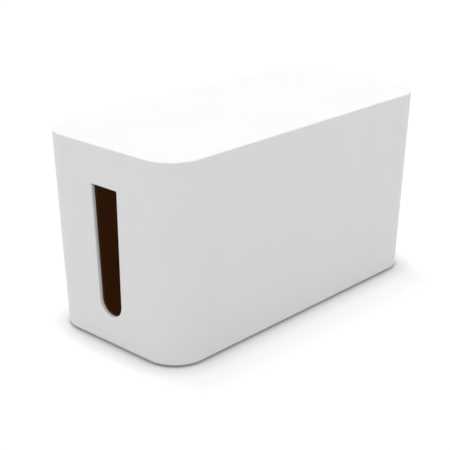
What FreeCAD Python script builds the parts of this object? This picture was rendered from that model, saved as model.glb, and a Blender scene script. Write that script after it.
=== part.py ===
import FreeCAD, Part
import math
import os

from FreeCAD import Vector

# Cable management box with its power strip, in millimetres.
# +X runs along the box, -X towards the end that the mains lead enters, and +Z is up.
# The origin is on the floor, under the middle of the box.
# The case is a drafted tub with a cable slot in each end wall, open to the rim.
# The lid sits on the rim, flush with the walls, and its two tongues close the tops of the slots.
# A dark liner stands in the case, is screwed to it under the feet and locates the power strip.
# The strip takes a loose mains lead at its inlet, and feeds four outlets through a rocker switch
# and a breaker with a push button.

# Directions
X_AXIS = Vector(1, 0, 0)
Y_AXIS = Vector(0, 1, 0)
Z_AXIS = Vector(0, 0, 1)

# The case
CASE_LENGTH = 240.0  # outside, at the top of the lid
CASE_WIDTH = 116.0
CASE_HEIGHT = 126.0  # from the underside of the case to the top of the lid
CORNER_RADIUS = 21.5  # upright corners, in plan
DRAFT_INSET = 3.3  # each wall leans in by this much over the whole height
WALL = 2.4
FLOOR = 3.0
FLOOR_EDGE_RADIUS = 1.0
SEAM_CHAMFER = 0.15  # on both sides of the line between the lid and the case
OVERRUN = 5.0  # how far a cutter passes the face that it cuts
SAME_PLANE = 0.001  # two heights that differ by less count as one

# The cable slots
SLOT_RADIUS = 9.3  # of the round foot
SLOT_SILL = 18.3  # from the underside of the case to the lowest point of the slot
SLOT_LEAN_DEG = 1.16  # each side opens outwards by this angle
SLOT_HEAD = 24.7  # from the top of the lid to the tongue's flat lower edge
LINER_SLOT_MARGIN = 0.3  # the liner's slot stands back by this much behind the case's slot

# The lid
LID_BAND = 5.5  # height of the lid's visible edge
LID_PLATE = 2.6
LID_TOP_RADIUS = 0.8
SKIRT_WALL = 1.4
SKIRT_GAP = 0.4
SKIRT_DEPTH = 6.0  # below the rim
TONGUE_GAP = 0.15  # each side, in the slot
LID_RIB_WALL = 1.2
LID_RIB_DEPTH = 3.0
LID_LONG_RIBS = 2
LID_CROSS_RIBS = 5

# The feet and the screws above them
FOOT_INSET = 14.0  # from the case's bottom edges to the middle of a foot
FOOT_RADIUS = 7.0
FOOT_STAND = 1.5  # how far a foot stands out below the case
FOOT_POCKET = 1.2
FOOT_GAP = 0.1
FOOT_EDGE_RADIUS = 0.5
HEAD_ROOM = 0.4  # round and under a screw's head, in the foot
LINER_SCREW_RADIUS = 1.45
LINER_SCREW_LENGTH = 8.0
LINER_HEAD_RADIUS = 2.8
LINER_HEAD_HEIGHT = 1.4
CLEARANCE_HOLE = 0.25  # a passing hole's radius is larger than its screw's by this much
THREAD_GAP = 0.05  # a threaded hole's radius is larger than its screw's by this much
HOLE_SPARE = 0.8  # how far a blind hole runs on past the screw's tip

# The liner
LINER_GAP = 0.3
LINER_WALL = 1.5
LINER_DROP = 2.0  # from the lid's skirt down to the liner's rim
LINER_BOSS_RADIUS = 4.4
CRADLE_GAP = 0.4
CRADLE_WALL = 1.6
CRADLE_HEIGHT = 9.0
CRADLE_ARM = 8.0

# The power strip's housing. Its length follows from what it carries.
STRIP_WIDTH = 50.0
STRIP_HEIGHT = 34.0
STRIP_WALL = 2.2
STRIP_CORNER = 8.0
STRIP_TOP_RADIUS = 2.0
STRIP_FOOT_RADIUS = 1.2
STRIP_SPLIT = 13.0  # height of the base
STRIP_SEAM = 0.3
STRIP_END_GAP = 9.0  # from the strip to the liner's end wall
INLET_ZONE = 30.0  # from the inlet end to the switch's zone
SWITCH_ZONE = 22.0
END_MARGIN = 4.0
LIP_WALL = 1.0
LIP_HEIGHT = 1.5
FIT_GAP = 0.15  # between a housing's opening and what fills it
BOSS_INSET = 5.6  # from the strip's outer faces to a screw's axis
COVER_BOSS_RADIUS = 3.0
BASE_BOSS_RADIUS = 4.2
COVER_SCREW_RADIUS = 1.4
COVER_SCREW_LENGTH = 18.0
COVER_HEAD_RADIUS = 2.7
COVER_HEAD_HEIGHT = 1.8
COVER_HEAD_SINK = 3.0  # depth of the head's recess in the base
CROSS_WIDTH = 0.8  # of a screw head's cross recess
CROSS_DEPTH = 0.9
CROSS_SPAN_SHARE = 0.62  # of the head's diameter

# The outlets. Two upright blades and a round earth pin, with the pin towards -Y.
OUTLET_COUNT = 4
OUTLET_PITCH = 29.0
OUTLET_Y = 1.5  # middle of an outlet's face
FACE_LENGTH = 24.0
FACE_WIDTH = 28.0
FACE_CORNER = 7.5
FACE_SINK = 0.6  # below the cover's top
FACE_DEPTH = 5.4
FACE_EDGE_RADIUS = 0.5
FLANGE_REACH = 1.5
FLANGE_THICKNESS = 1.5
BLADE_SPACING = 12.7
BLADE_Y = 7.0
EARTH_DROP = 11.9  # from the blades' line to the earth pin
BLADE_SLOT_WIDTH = 2.2
LIVE_SLOT_LENGTH = 7.0
NEUTRAL_SLOT_LENGTH = 8.4
EARTH_SLOT_RADIUS = 2.6

# The contact bars
CLIP_GAP = 1.0  # from the clips up to the outlet's insert
BAR_THICKNESS = 0.8
BAR_HEIGHT = 4.0
LEAF_THICKNESS = 0.6
LEAF_HEIGHT = 10.0
LEAF_GAP = 1.6  # a blade's thickness
LEAF_REACH = 3.0  # past the middle of a blade
LIVE_BAR_Y = 15.0
NEUTRAL_BAR_Y = 0.6
EARTH_BAR_Y = -12.6
EARTH_CLIP_RADIUS = 2.4
EARTH_CLIP_WALL = 0.6
BAR_RIB_WALL = 1.6
BAR_RIB_REACH = 1.2  # past the outer bars
BAR_END = 3.0  # how far a bar runs on past its last contact

# The rocker switch
SWITCH_Y = 9.0
SWITCH_FLANGE_LENGTH = 21.0
SWITCH_FLANGE_WIDTH = 15.0
SWITCH_FLANGE_THICKNESS = 1.2
SWITCH_FLANGE_CORNER = 1.5
SWITCH_BODY_LENGTH = 18.8
SWITCH_BODY_WIDTH = 12.8
SWITCH_BODY_DEPTH = 13.0  # below the cover's top
SWITCH_WALL = 1.0
PIVOT_DROP = 2.3  # from the flange's top to the rocker's axis
ROCKER_GAP = 0.25
ROCKER_LENGTH = 15.2
ROCKER_END_RISE = 3.4  # of the rocker's raised ends, above its axis
ROCKER_DIP_RISE = 2.1  # of its middle
ROCKER_LIP = 0.4
ROCKER_KEEL = 5.0  # below its axis
ROCKER_KEEL_WIDTH = 6.0
ROCKER_EDGE_RADIUS = 0.5
ROCKER_TILT_DEG = 10.0
TRUNNION_RADIUS = 1.2
TRUNNION_GAP = 0.06
TRUNNION_REACH = 0.7  # into the switch's side walls
TAB_WIDTH = 6.3
TAB_THICKNESS = 0.8
TAB_LENGTH = 6.5
SWITCH_TAB_COUNT = 3
SWITCH_TAB_PITCH = 6.0

# The breaker, with its nut and push button
BREAKER_Y = -12.2
BREAKER_X_SHARE = 0.3  # of the switch zone's length
BREAKER_LENGTH = 12.4
BREAKER_WIDTH = 13.0
BREAKER_BODY_DEPTH = 12.5  # below the cover's underside
NECK_RADIUS = 4.6
NECK_STAND = 2.6  # above the cover's top
NUT_RADIUS = 6.0
NUT_HEIGHT = 1.9
NUT_SIDES = 6
BUTTON_RADIUS = 2.9
BUTTON_GAP = 0.12
BUTTON_TRAVEL = 2.2
BUTTON_PROUD = 0.4  # above the neck, when pressed
BUTTON_EDGE_RADIUS = 0.6
BUTTON_FLANGE_RADIUS = 3.7
BUTTON_FLANGE_THICKNESS = 1.0
CHAMBER_RADIUS = 4.1
CHAMBER_ROOF = 2.0  # from the cover's underside down to the chamber
SPRING_CLOSED = 2.8  # room for the spring when the button is pressed
SPRING_WIRE_RADIUS = 0.25
SPRING_RADIUS = 2.9
SPRING_TURNS = 4
TURN_SPANS = 4  # quarter turns, each of two arcs, in a turn
BREAKER_TAB_COUNT = 2
BREAKER_TAB_PITCH = 7.0

# The indicator
LENS_X_SHARE = 0.82  # of the switch zone's length
LENS_Y = -12.2
LENS_RADIUS = 2.2
LENS_DOME = 0.9
LENS_FLANGE_RADIUS = 3.0
LENS_FLANGE_THICKNESS = 0.8
LENS_BARREL = 5.0
LED_RADIUS = 1.5
LED_HEIGHT = 4.0
LED_GAP = 0.1
LED_RIM_RADIUS = 1.9
LED_RIM_HEIGHT = 0.9
LED_LEG_WIDTH = 0.5
LED_LEG_LENGTH = 4.0
LED_LEG_PITCH = 2.54

# The surge board
BOARD_MARGIN = 2.5  # from the first bar rib to the board
BOARD_LENGTH = 52.0
BOARD_WIDTH = 34.0
BOARD_THICKNESS = 1.6
BOARD_CORNER = 2.0
POST_HEIGHT = 3.0
POST_RADIUS = 2.4
POST_PIN_RADIUS = 1.1
POST_INSET = 4.0
POST_PIN_STAND = 1.2
VARISTOR_COUNT = 3
VARISTOR_THICKNESS = 4.0
VARISTOR_PITCH = 11.0
VARISTOR_Y = -3.0
VARISTOR_START = 12.0  # from the board's inlet end
LEG_RADIUS = 0.4
LEG_STAND = 1.0
FUSE_RADIUS = 1.9
FUSE_LENGTH = 10.0
FUSE_Y = 8.5
FUSE_START = 21.4
CAPACITOR_LENGTH = 13.0
CAPACITOR_WIDTH = 6.0
CAPACITOR_RADIUS = 0.8
CAPACITOR_START = 34.0
LEG_LENGTH = 2.8  # from a component down through the board
COMPONENT_ROOM = 1.0  # from the tallest components up to the bars
LEAD_START = 8.0  # from the board's inlet end to the leads that rise to the bars
LEAD_STAND = 1.2  # of the leads, below the board

# The mains inlet, halfway up the strip
INLET_BODY_WIDTH = 26.8
INLET_BODY_HEIGHT = 19.6
INLET_BODY_DEPTH = 17.0
BEZEL_WIDTH = 31.0
BEZEL_HEIGHT = 23.6
BEZEL_THICKNESS = 1.8
BEZEL_CORNER = 3.0
INLET_BODY_CORNER = 1.5
RECESS_WIDTH = 24.0
RECESS_HEIGHT = 16.4
RECESS_DEPTH = 14.8
RECESS_BEVEL = 4.4
PRONG_SPACING = 14.0
PRONG_WIDTH = 2.0
PRONG_HEIGHT = 4.0
PRONG_LENGTH = 11.5
EARTH_PRONG_RISE = 3.9
LINE_PRONG_DROP = 0.6
INLET_TAB_HEIGHT = 4.8
INLET_TAB_LENGTH = 6.5

# The wires inside the strip, from tab to tab
WIRE_RADIUS = 1.0
WIRE_FLOOR_GAP = 1.5  # from the strip's floor to the lowest wires
WIRE_RUN_OUT = 4.0  # straight run out of a tab or into a bar
WIRE_SIDE_GAP = 1.1  # from the breaker's side to the wire that passes it
BEND_SHARE = 0.45  # of the shorter run at a bend, which its arc takes up

# Heights and places that follow from the sizes above
CASE_BOTTOM = FOOT_STAND
TOP_Z = CASE_BOTTOM + CASE_HEIGHT
RIM_Z = TOP_Z - LID_BAND
SLOT_TOP = TOP_Z - SLOT_HEAD
SLOT_BOTTOM = CASE_BOTTOM + SLOT_SILL
LINER_Z = CASE_BOTTOM + FLOOR
LINER_TOP = RIM_Z - SKIRT_DEPTH - LINER_DROP
LINER_OUTSIDE = WALL + LINER_GAP
LINER_INSIDE = LINER_OUTSIDE + LINER_WALL
STRIP_Z = LINER_Z + LINER_WALL
STRIP_LENGTH = INLET_ZONE + SWITCH_ZONE + OUTLET_COUNT * OUTLET_PITCH + END_MARGIN
STRIP_TOP = STRIP_Z + STRIP_HEIGHT
COVER_UNDER = STRIP_TOP - STRIP_WALL
SPLIT_Z = STRIP_Z + STRIP_SPLIT
FOOT_X = CASE_LENGTH / 2 - DRAFT_INSET - FOOT_INSET
FOOT_Y = CASE_WIDTH / 2 - DRAFT_INSET - FOOT_INSET
POCKET_Z = CASE_BOTTOM + FOOT_POCKET


def inset_at(height):
    """How far the outer wall stands inside the lid's outline at a height."""
    return DRAFT_INSET * (TOP_Z - height) / CASE_HEIGHT


STRIP_FAR_END = CASE_LENGTH / 2 - inset_at(STRIP_Z) - LINER_INSIDE - STRIP_END_GAP
STRIP_START = STRIP_FAR_END - STRIP_LENGTH
STRIP_X = STRIP_START + STRIP_LENGTH / 2
SWITCH_X = STRIP_START + INLET_ZONE + SWITCH_ZONE / 2
BREAKER_X = STRIP_START + INLET_ZONE + SWITCH_ZONE * BREAKER_X_SHARE
LENS_X = STRIP_START + INLET_ZONE + SWITCH_ZONE * LENS_X_SHARE
OUTLETS_X = STRIP_START + INLET_ZONE + SWITCH_ZONE
BAR_Z = STRIP_TOP - FACE_SINK - FACE_DEPTH - CLIP_GAP - LEAF_HEIGHT
PIVOT_Z = STRIP_TOP + SWITCH_FLANGE_THICKNESS - PIVOT_DROP
SWITCH_BOTTOM = STRIP_TOP - SWITCH_BODY_DEPTH
BREAKER_BOTTOM = COVER_UNDER - BREAKER_BODY_DEPTH
CHAMBER_TOP = COVER_UNDER - CHAMBER_ROOF
SPRING_TOP = CHAMBER_TOP - BUTTON_FLANGE_THICKNESS
SPRING_FOOT = SPRING_TOP - BUTTON_TRAVEL - SPRING_CLOSED
INLET_Z = STRIP_Z + STRIP_HEIGHT / 2
WIRE_Z = STRIP_Z + STRIP_WALL + WIRE_FLOOR_GAP + WIRE_RADIUS
BAR_START = OUTLETS_X - BAR_RIB_WALL / 2
BOARD_X = OUTLETS_X + BOARD_MARGIN
BOARD_Z = STRIP_Z + STRIP_WALL + POST_HEIGHT
BOARD_TOP = BOARD_Z + BOARD_THICKNESS
VARISTOR_RADIUS = (BAR_Z - COMPONENT_ROOM - BOARD_TOP - LEG_STAND) / 2
CAPACITOR_HEIGHT = BAR_Z - 2 * COMPONENT_ROOM - BOARD_TOP


# Shapes that several pieces share


def moved(shape, x=0, y=0, z=0):
    """A copy of a shape, shifted."""
    copy = shape.copy()
    copy.translate(Vector(x, y, z))
    return copy


def block(x0, x1, y0, y1, z0, z1):
    """A box between two corners."""
    return Part.makeBox(x1 - x0, y1 - y0, z1 - z0, Vector(x0, y0, z0))


def centred_block(x, y, z0, length, width, height):
    """A box that stands on z0, with its middle over x and y."""
    return Part.makeBox(length, width, height, Vector(x - length / 2, y - width / 2, z0))


def upright(radius, height, x, y, z):
    """An upright cylinder that stands on z."""
    return Part.makeCylinder(radius, height, Vector(x, y, z), Z_AXIS)


def polygon_face(points):
    """A flat face from its corners."""
    return Part.Face(Part.makePolygon(points + [points[0]]))


def joined(shapes):
    """Several overlapping shapes as one, without the seams between them."""
    return shapes[0].multiFuse(shapes[1:]).removeSplitter()


def upright_edges(shape, height):
    """The edges of a prism that run up its full height."""
    return [e for e in shape.Edges if e.BoundBox.ZLength > height / 2]


def edges_at(shape, z):
    """The edges that lie in the plane at height z."""
    return [e for e in shape.Edges
            if abs(e.BoundBox.ZMin - z) < SAME_PLANE and abs(e.BoundBox.ZMax - z) < SAME_PLANE]


def rounded_block(x, y, z0, length, width, height, corner):
    """A box with round upright corners, standing on z0 with its middle over x and y."""
    body = centred_block(x, y, z0, length, width, height)
    return body.makeFillet(corner, upright_edges(body, height))


def tapered_block(offset, low, high):
    """The drafted, round-cornered form of the case between two heights, moved inwards by offset."""

    def corners(height):
        x = CASE_LENGTH / 2 - inset_at(height) - offset
        y = CASE_WIDTH / 2 - inset_at(height) - offset
        return [Vector(-x, -y, height), Vector(x, -y, height), Vector(x, y, height), Vector(-x, y, height)]

    bottom, top = corners(low), corners(high)
    sides = [polygon_face([bottom[i - 1], bottom[i], top[i], top[i - 1]]) for i in range(len(bottom))]
    body = Part.makeSolid(Part.makeShell(sides + [polygon_face(bottom), polygon_face(top)]))
    if body.Volume < 0:
        body.reverse()
    return body.makeFillet(CORNER_RADIUS - offset, upright_edges(body, high - low))


def slot_prism(widen, top):
    """The two cable slots as one long cutter, up to a height, with each side moved out by widen."""
    radius = SLOT_RADIUS + widen
    lean = math.radians(SLOT_LEAN_DEG)
    centre = SLOT_BOTTOM + SLOT_RADIUS
    side_y = radius * math.cos(lean)
    side_z = centre - radius * math.sin(lean)
    top_y = side_y + (top - side_z) * math.tan(lean)
    x = -CASE_LENGTH / 2 - OVERRUN
    edges = [
        Part.Arc(Vector(x, side_y, side_z), Vector(x, 0, centre - radius), Vector(x, -side_y, side_z)).toShape(),
        Part.makeLine(Vector(x, -side_y, side_z), Vector(x, -top_y, top)),
        Part.makeLine(Vector(x, -top_y, top), Vector(x, top_y, top)),
        Part.makeLine(Vector(x, top_y, top), Vector(x, side_y, side_z)),
    ]
    return Part.Face(Part.Wire(edges)).extrude(X_AXIS * (CASE_LENGTH + 2 * OVERRUN))


def foot_places():
    """The four places of the feet, with their names."""
    return [
        ("foot_front_left", -FOOT_X, -FOOT_Y),
        ("foot_front_right", FOOT_X, -FOOT_Y),
        ("foot_rear_left", -FOOT_X, FOOT_Y),
        ("foot_rear_right", FOOT_X, FOOT_Y),
    ]


def cross_recess(head_radius, x, y, z):
    """The cross in a screw's head, cut upwards from z."""
    span = 2 * head_radius * CROSS_SPAN_SHARE
    one = centred_block(x, y, z - OVERRUN, span, CROSS_WIDTH, OVERRUN + CROSS_DEPTH)
    other = centred_block(x, y, z - OVERRUN, CROSS_WIDTH, span, OVERRUN + CROSS_DEPTH)
    return one.fuse(other)


def screw(radius, length, head_radius, head_height, x, y, z):
    """A pan-head screw that points up, with the underside of its head at z."""
    head = upright(head_radius, head_height, x, y, z - head_height)
    head = head.makeFillet(head_height / 3, edges_at(head, z - head_height))
    shank = upright(radius, length, x, y, z)
    shank = shank.makeChamfer(radius / 2, edges_at(shank, z + length))
    return joined([head, shank]).cut(cross_recess(head_radius, x, y, z - head_height))


# The box


def outer_case():
    """The white tub: drafted walls, floor, two cable slots, and a pocket and hole over each foot."""
    outside = tapered_block(0, CASE_BOTTOM, RIM_Z)
    outside = outside.makeFillet(FLOOR_EDGE_RADIUS, edges_at(outside, CASE_BOTTOM))
    outside = outside.makeChamfer(SEAM_CHAMFER, edges_at(outside, RIM_Z))
    hollow = tapered_block(WALL, LINER_Z, RIM_Z + OVERRUN)
    cutters = [hollow, slot_prism(0, RIM_Z + OVERRUN)]
    for _, x, y in foot_places():
        cutters.append(upright(FOOT_RADIUS + FOOT_GAP, FOOT_POCKET + OVERRUN, x, y, CASE_BOTTOM - OVERRUN))
        cutters.append(upright(LINER_SCREW_RADIUS + CLEARANCE_HOLE, FLOOR + OVERRUN, x, y, CASE_BOTTOM))
    return outside.cut(cutters)


def lid():
    """The white lid: plate and band, a skirt inside the rim, stiffening ribs and the two tongues."""
    outside = tapered_block(0, RIM_Z, TOP_Z)
    outside = outside.makeFillet(LID_TOP_RADIUS, edges_at(outside, TOP_Z))
    outside = outside.makeChamfer(SEAM_CHAMFER, edges_at(outside, RIM_Z))
    under = TOP_Z - LID_PLATE
    root = under + LID_PLATE / 2
    band = outside.cut(tapered_block(WALL, RIM_Z - OVERRUN, under))
    skirt_outside = WALL + SKIRT_GAP
    skirt_foot = RIM_Z - SKIRT_DEPTH
    skirt = tapered_block(skirt_outside, skirt_foot, root)
    skirt = skirt.cut(tapered_block(skirt_outside + SKIRT_WALL, skirt_foot - OVERRUN, root + OVERRUN))
    return joined([band, skirt] + lid_tongues(skirt_outside + SKIRT_WALL) + lid_ribs(skirt_outside, root))


def lid_tongues(reach):
    """The two tongues, and the webs that tie each to the skirt, which ends at reach from the outside."""
    band_middle = RIM_Z + LID_BAND / 2
    slot = slot_prism(-TONGUE_GAP, band_middle)
    above = block(-CASE_LENGTH, CASE_LENGTH, -CASE_WIDTH, CASE_WIDTH, SLOT_TOP, band_middle)
    shell = tapered_block(0, SLOT_TOP - OVERRUN, TOP_Z).cut(tapered_block(WALL, SLOT_TOP - OVERRUN, TOP_Z))
    tongues = shell.common(above).common(slot)
    behind = tapered_block(WALL / 2, SLOT_TOP, TOP_Z).cut(tapered_block(reach, SLOT_TOP - OVERRUN, TOP_Z))
    skirt_zone = block(-CASE_LENGTH, CASE_LENGTH, -CASE_WIDTH, CASE_WIDTH, RIM_Z - SKIRT_DEPTH, band_middle)
    webs = behind.common(skirt_zone).common(slot)
    return tongues.Solids + webs.Solids


def lid_ribs(skirt_outside, root):
    """Stiffening ribs under the plate, from skirt to skirt."""
    inside = tapered_block(skirt_outside + SKIRT_WALL / 2, RIM_Z - SKIRT_DEPTH, root)
    foot = TOP_Z - LID_PLATE - LID_RIB_DEPTH
    ribs = []
    for i in range(LID_LONG_RIBS):
        y = CASE_WIDTH * ((i + 1) / (LID_LONG_RIBS + 1) - 1 / 2)
        ribs.append(block(-CASE_LENGTH, CASE_LENGTH, y - LID_RIB_WALL / 2, y + LID_RIB_WALL / 2, foot, root))
    for i in range(LID_CROSS_RIBS):
        x = CASE_LENGTH * ((i + 1) / (LID_CROSS_RIBS + 1) - 1 / 2)
        ribs.append(block(x - LID_RIB_WALL / 2, x + LID_RIB_WALL / 2, -CASE_WIDTH, CASE_WIDTH, foot, root))
    return [rib.common(inside) for rib in ribs]


def foot(x, y):
    """A rubber foot, pressed into its pocket and hollowed over the screw's head."""
    body = upright(FOOT_RADIUS, POCKET_Z, x, y, 0)
    body = body.makeFillet(FOOT_EDGE_RADIUS, edges_at(body, 0))
    head_room = LINER_HEAD_HEIGHT + HEAD_ROOM
    return body.cut(upright(LINER_HEAD_RADIUS + HEAD_ROOM, head_room + OVERRUN, x, y, POCKET_Z - head_room))


def liner_screws():
    """The four screws that hold the liner down, with their heads inside the feet."""
    screws = [
        screw(LINER_SCREW_RADIUS, LINER_SCREW_LENGTH, LINER_HEAD_RADIUS, LINER_HEAD_HEIGHT, x, y, POCKET_Z)
        for _, x, y in foot_places()
    ]
    return Part.makeCompound(screws)


def inner_liner():
    """The dark liner: a thin tub with the same slots, screw bosses and the strip's cradle."""
    outside = tapered_block(LINER_OUTSIDE, LINER_Z, LINER_TOP)
    hollow = tapered_block(LINER_INSIDE, STRIP_Z, LINER_TOP + OVERRUN)
    tub = outside.cut([hollow, slot_prism(LINER_SLOT_MARGIN, LINER_TOP + OVERRUN)])
    tip = POCKET_Z + LINER_SCREW_LENGTH + HOLE_SPARE
    boss_height = tip + LINER_WALL - LINER_Z
    bosses = [upright(LINER_BOSS_RADIUS, boss_height, x, y, LINER_Z) for _, x, y in foot_places()]
    body = joined([tub] + bosses + cradle())
    holes = [
        upright(LINER_SCREW_RADIUS + THREAD_GAP, tip - LINER_Z + OVERRUN, x, y, LINER_Z - OVERRUN)
        for _, x, y in foot_places()
    ]
    return body.cut(holes)


def cradle():
    """Four corner brackets on the liner's floor, round the power strip."""
    brackets = []
    half_length = STRIP_LENGTH / 2 + CRADLE_GAP
    half_width = STRIP_WIDTH / 2 + CRADLE_GAP
    for side_x in (-1, 1):
        for side_y in (-1, 1):
            x0, x1 = half_length - CRADLE_ARM, half_length + CRADLE_WALL
            y0, y1 = half_width - CRADLE_ARM, half_width + CRADLE_WALL
            low, high = LINER_Z + LINER_WALL / 2, STRIP_Z + CRADLE_HEIGHT
            bracket = block(x0, x1, half_width, y1, low, high).fuse(block(half_length, x1, y0, y1, low, high))
            if side_x < 0:
                bracket = bracket.mirror(Vector(0, 0, 0), X_AXIS)
            if side_y < 0:
                bracket = bracket.mirror(Vector(0, 0, 0), Y_AXIS)
            brackets.append(moved(bracket, x=STRIP_X))
    return brackets


# The power strip's housing


def strip_block(inset, low, high):
    """The strip's round-cornered outline between two heights, moved inwards by inset."""
    length, width = STRIP_LENGTH - 2 * inset, STRIP_WIDTH - 2 * inset
    return rounded_block(STRIP_X, 0, low, length, width, high - low, STRIP_CORNER - inset)


def strip_screw_places():
    """The axes of the four screws that hold the strip's cover to its base."""
    x = STRIP_LENGTH / 2 - BOSS_INSET
    y = STRIP_WIDTH / 2 - BOSS_INSET
    return [(STRIP_X + side_x * x, side_y * y) for side_x in (-1, 1) for side_y in (-1, 1)]


def inlet_opening():
    """Cutter for the inlet's hole in the end wall."""
    z = INLET_Z - INLET_BODY_HEIGHT / 2 - FIT_GAP
    width, height = INLET_BODY_WIDTH + 2 * FIT_GAP, INLET_BODY_HEIGHT + 2 * FIT_GAP
    return centred_block(STRIP_START, 0, z, 2 * INLET_BODY_DEPTH, width, height)


def strip_base():
    """The lower half of the housing, with a lip, screw bosses, bar ribs and the board's posts."""
    outside = strip_block(0, STRIP_Z, SPLIT_Z)
    outside = outside.makeFillet(STRIP_FOOT_RADIUS, edges_at(outside, STRIP_Z))
    outside = outside.makeChamfer(STRIP_SEAM, edges_at(outside, SPLIT_Z))
    floor_z = STRIP_Z + STRIP_WALL
    shell = outside.cut(strip_block(STRIP_WALL, floor_z, SPLIT_Z + OVERRUN))
    bosses = [upright(BASE_BOSS_RADIUS, STRIP_SPLIT - STRIP_WALL / 2, x, y, STRIP_Z + STRIP_WALL / 2)
              for x, y in strip_screw_places()]
    bosses = [boss.common(outside) for boss in bosses]
    body = joined([shell, base_lip()] + bosses + bar_ribs() + board_posts())
    cutters = [inlet_opening()]
    shank, head = COVER_SCREW_RADIUS + CLEARANCE_HOLE, COVER_HEAD_RADIUS + CLEARANCE_HOLE
    for x, y in strip_screw_places():
        cutters.append(upright(shank, STRIP_SPLIT + OVERRUN, x, y, STRIP_Z))
        cutters.append(upright(head, COVER_HEAD_SINK + OVERRUN, x, y, STRIP_Z - OVERRUN))
    return body.cut(cutters)


def base_lip():
    """The lip that rises from the base's wall into the cover, open round the cover's screw bosses."""
    outside = STRIP_WALL + FIT_GAP
    inside = strip_block(outside + LIP_WALL, SPLIT_Z - OVERRUN, SPLIT_Z + OVERRUN)
    lip = strip_block(outside, SPLIT_Z - LIP_HEIGHT, SPLIT_Z + LIP_HEIGHT)
    root = strip_block(STRIP_WALL / 2, SPLIT_Z - LIP_HEIGHT, SPLIT_Z - LIP_HEIGHT / 2)
    rooms = [upright(COVER_BOSS_RADIUS + 2 * FIT_GAP, LIP_HEIGHT + OVERRUN, x, y, SPLIT_Z)
             for x, y in strip_screw_places()]
    return lip.fuse(root).cut([inside] + rooms)


def bar_rib_places():
    """Where the ribs under the contact bars stand: before the outlets and past the board."""
    return [OUTLETS_X + i * OUTLET_PITCH for i in range(OUTLET_COUNT) if i != 1]


def bar_ribs():
    """Cross ribs of the base that carry the three contact bars."""
    y0 = EARTH_BAR_Y - BAR_RIB_REACH
    y1 = LIVE_BAR_Y + BAR_THICKNESS + BAR_RIB_REACH
    low = STRIP_Z + STRIP_WALL / 2
    return [block(x - BAR_RIB_WALL / 2, x + BAR_RIB_WALL / 2, y0, y1, low, BAR_Z) for x in bar_rib_places()]


def board_post_places():
    """The four posts that carry the surge board."""
    xs = (BOARD_X + POST_INSET, BOARD_X + BOARD_LENGTH - POST_INSET)
    ys = (-BOARD_WIDTH / 2 + POST_INSET, BOARD_WIDTH / 2 - POST_INSET)
    return [(x, y) for x in xs for y in ys]


def board_posts():
    """Posts of the base, each with a pin that passes through the board."""
    low = STRIP_Z + STRIP_WALL / 2
    posts = []
    for x, y in board_post_places():
        posts.append(upright(POST_RADIUS, BOARD_Z - low, x, y, low))
        posts.append(upright(POST_PIN_RADIUS, BOARD_TOP + POST_PIN_STAND - low, x, y, low))
    return posts


def strip_cover():
    """The upper half of the housing, with openings for all that shows on top."""
    outside = strip_block(0, SPLIT_Z, STRIP_TOP)
    outside = outside.makeFillet(STRIP_TOP_RADIUS, edges_at(outside, STRIP_TOP))
    outside = outside.makeChamfer(STRIP_SEAM, edges_at(outside, SPLIT_Z))
    shell = outside.cut(strip_block(STRIP_WALL, SPLIT_Z - OVERRUN, COVER_UNDER))
    bosses = [upright(COVER_BOSS_RADIUS, STRIP_TOP - STRIP_WALL / 2 - SPLIT_Z, x, y, SPLIT_Z).common(outside)
              for x, y in strip_screw_places()]
    body = joined([shell] + bosses)
    cutters = [inlet_opening()]
    for x in outlet_places():
        length, width = FACE_LENGTH + 2 * FIT_GAP, FACE_WIDTH + 2 * FIT_GAP
        corner = FACE_CORNER + FIT_GAP
        cutters.append(rounded_block(x, OUTLET_Y, COVER_UNDER - OVERRUN, length, width, 3 * OVERRUN, corner))
    length, width = SWITCH_BODY_LENGTH + 2 * FIT_GAP, SWITCH_BODY_WIDTH + 2 * FIT_GAP
    cutters.append(centred_block(SWITCH_X, SWITCH_Y, COVER_UNDER - OVERRUN, length, width, 3 * OVERRUN))
    cutters.append(upright(NECK_RADIUS + FIT_GAP, 3 * OVERRUN, BREAKER_X, BREAKER_Y, COVER_UNDER - OVERRUN))
    cutters.append(upright(LENS_RADIUS + FIT_GAP, 3 * OVERRUN, LENS_X, LENS_Y, COVER_UNDER - OVERRUN))
    low = SPLIT_Z - OVERRUN
    depth = STRIP_Z + COVER_HEAD_SINK + COVER_SCREW_LENGTH + HOLE_SPARE - low
    for x, y in strip_screw_places():
        cutters.append(upright(COVER_SCREW_RADIUS + THREAD_GAP, depth, x, y, low))
    return body.cut(cutters)


def cover_screws():
    """The four screws of the strip's housing, driven from below."""
    z = STRIP_Z + COVER_HEAD_SINK
    screws = [screw(COVER_SCREW_RADIUS, COVER_SCREW_LENGTH, COVER_HEAD_RADIUS, COVER_HEAD_HEIGHT, x, y, z)
              for x, y in strip_screw_places()]
    return Part.makeCompound(screws)


# The outlets and their contacts


def outlet_places():
    """The middles of the outlets along the strip."""
    return [OUTLETS_X + (i + 1 / 2) * OUTLET_PITCH for i in range(OUTLET_COUNT)]


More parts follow.
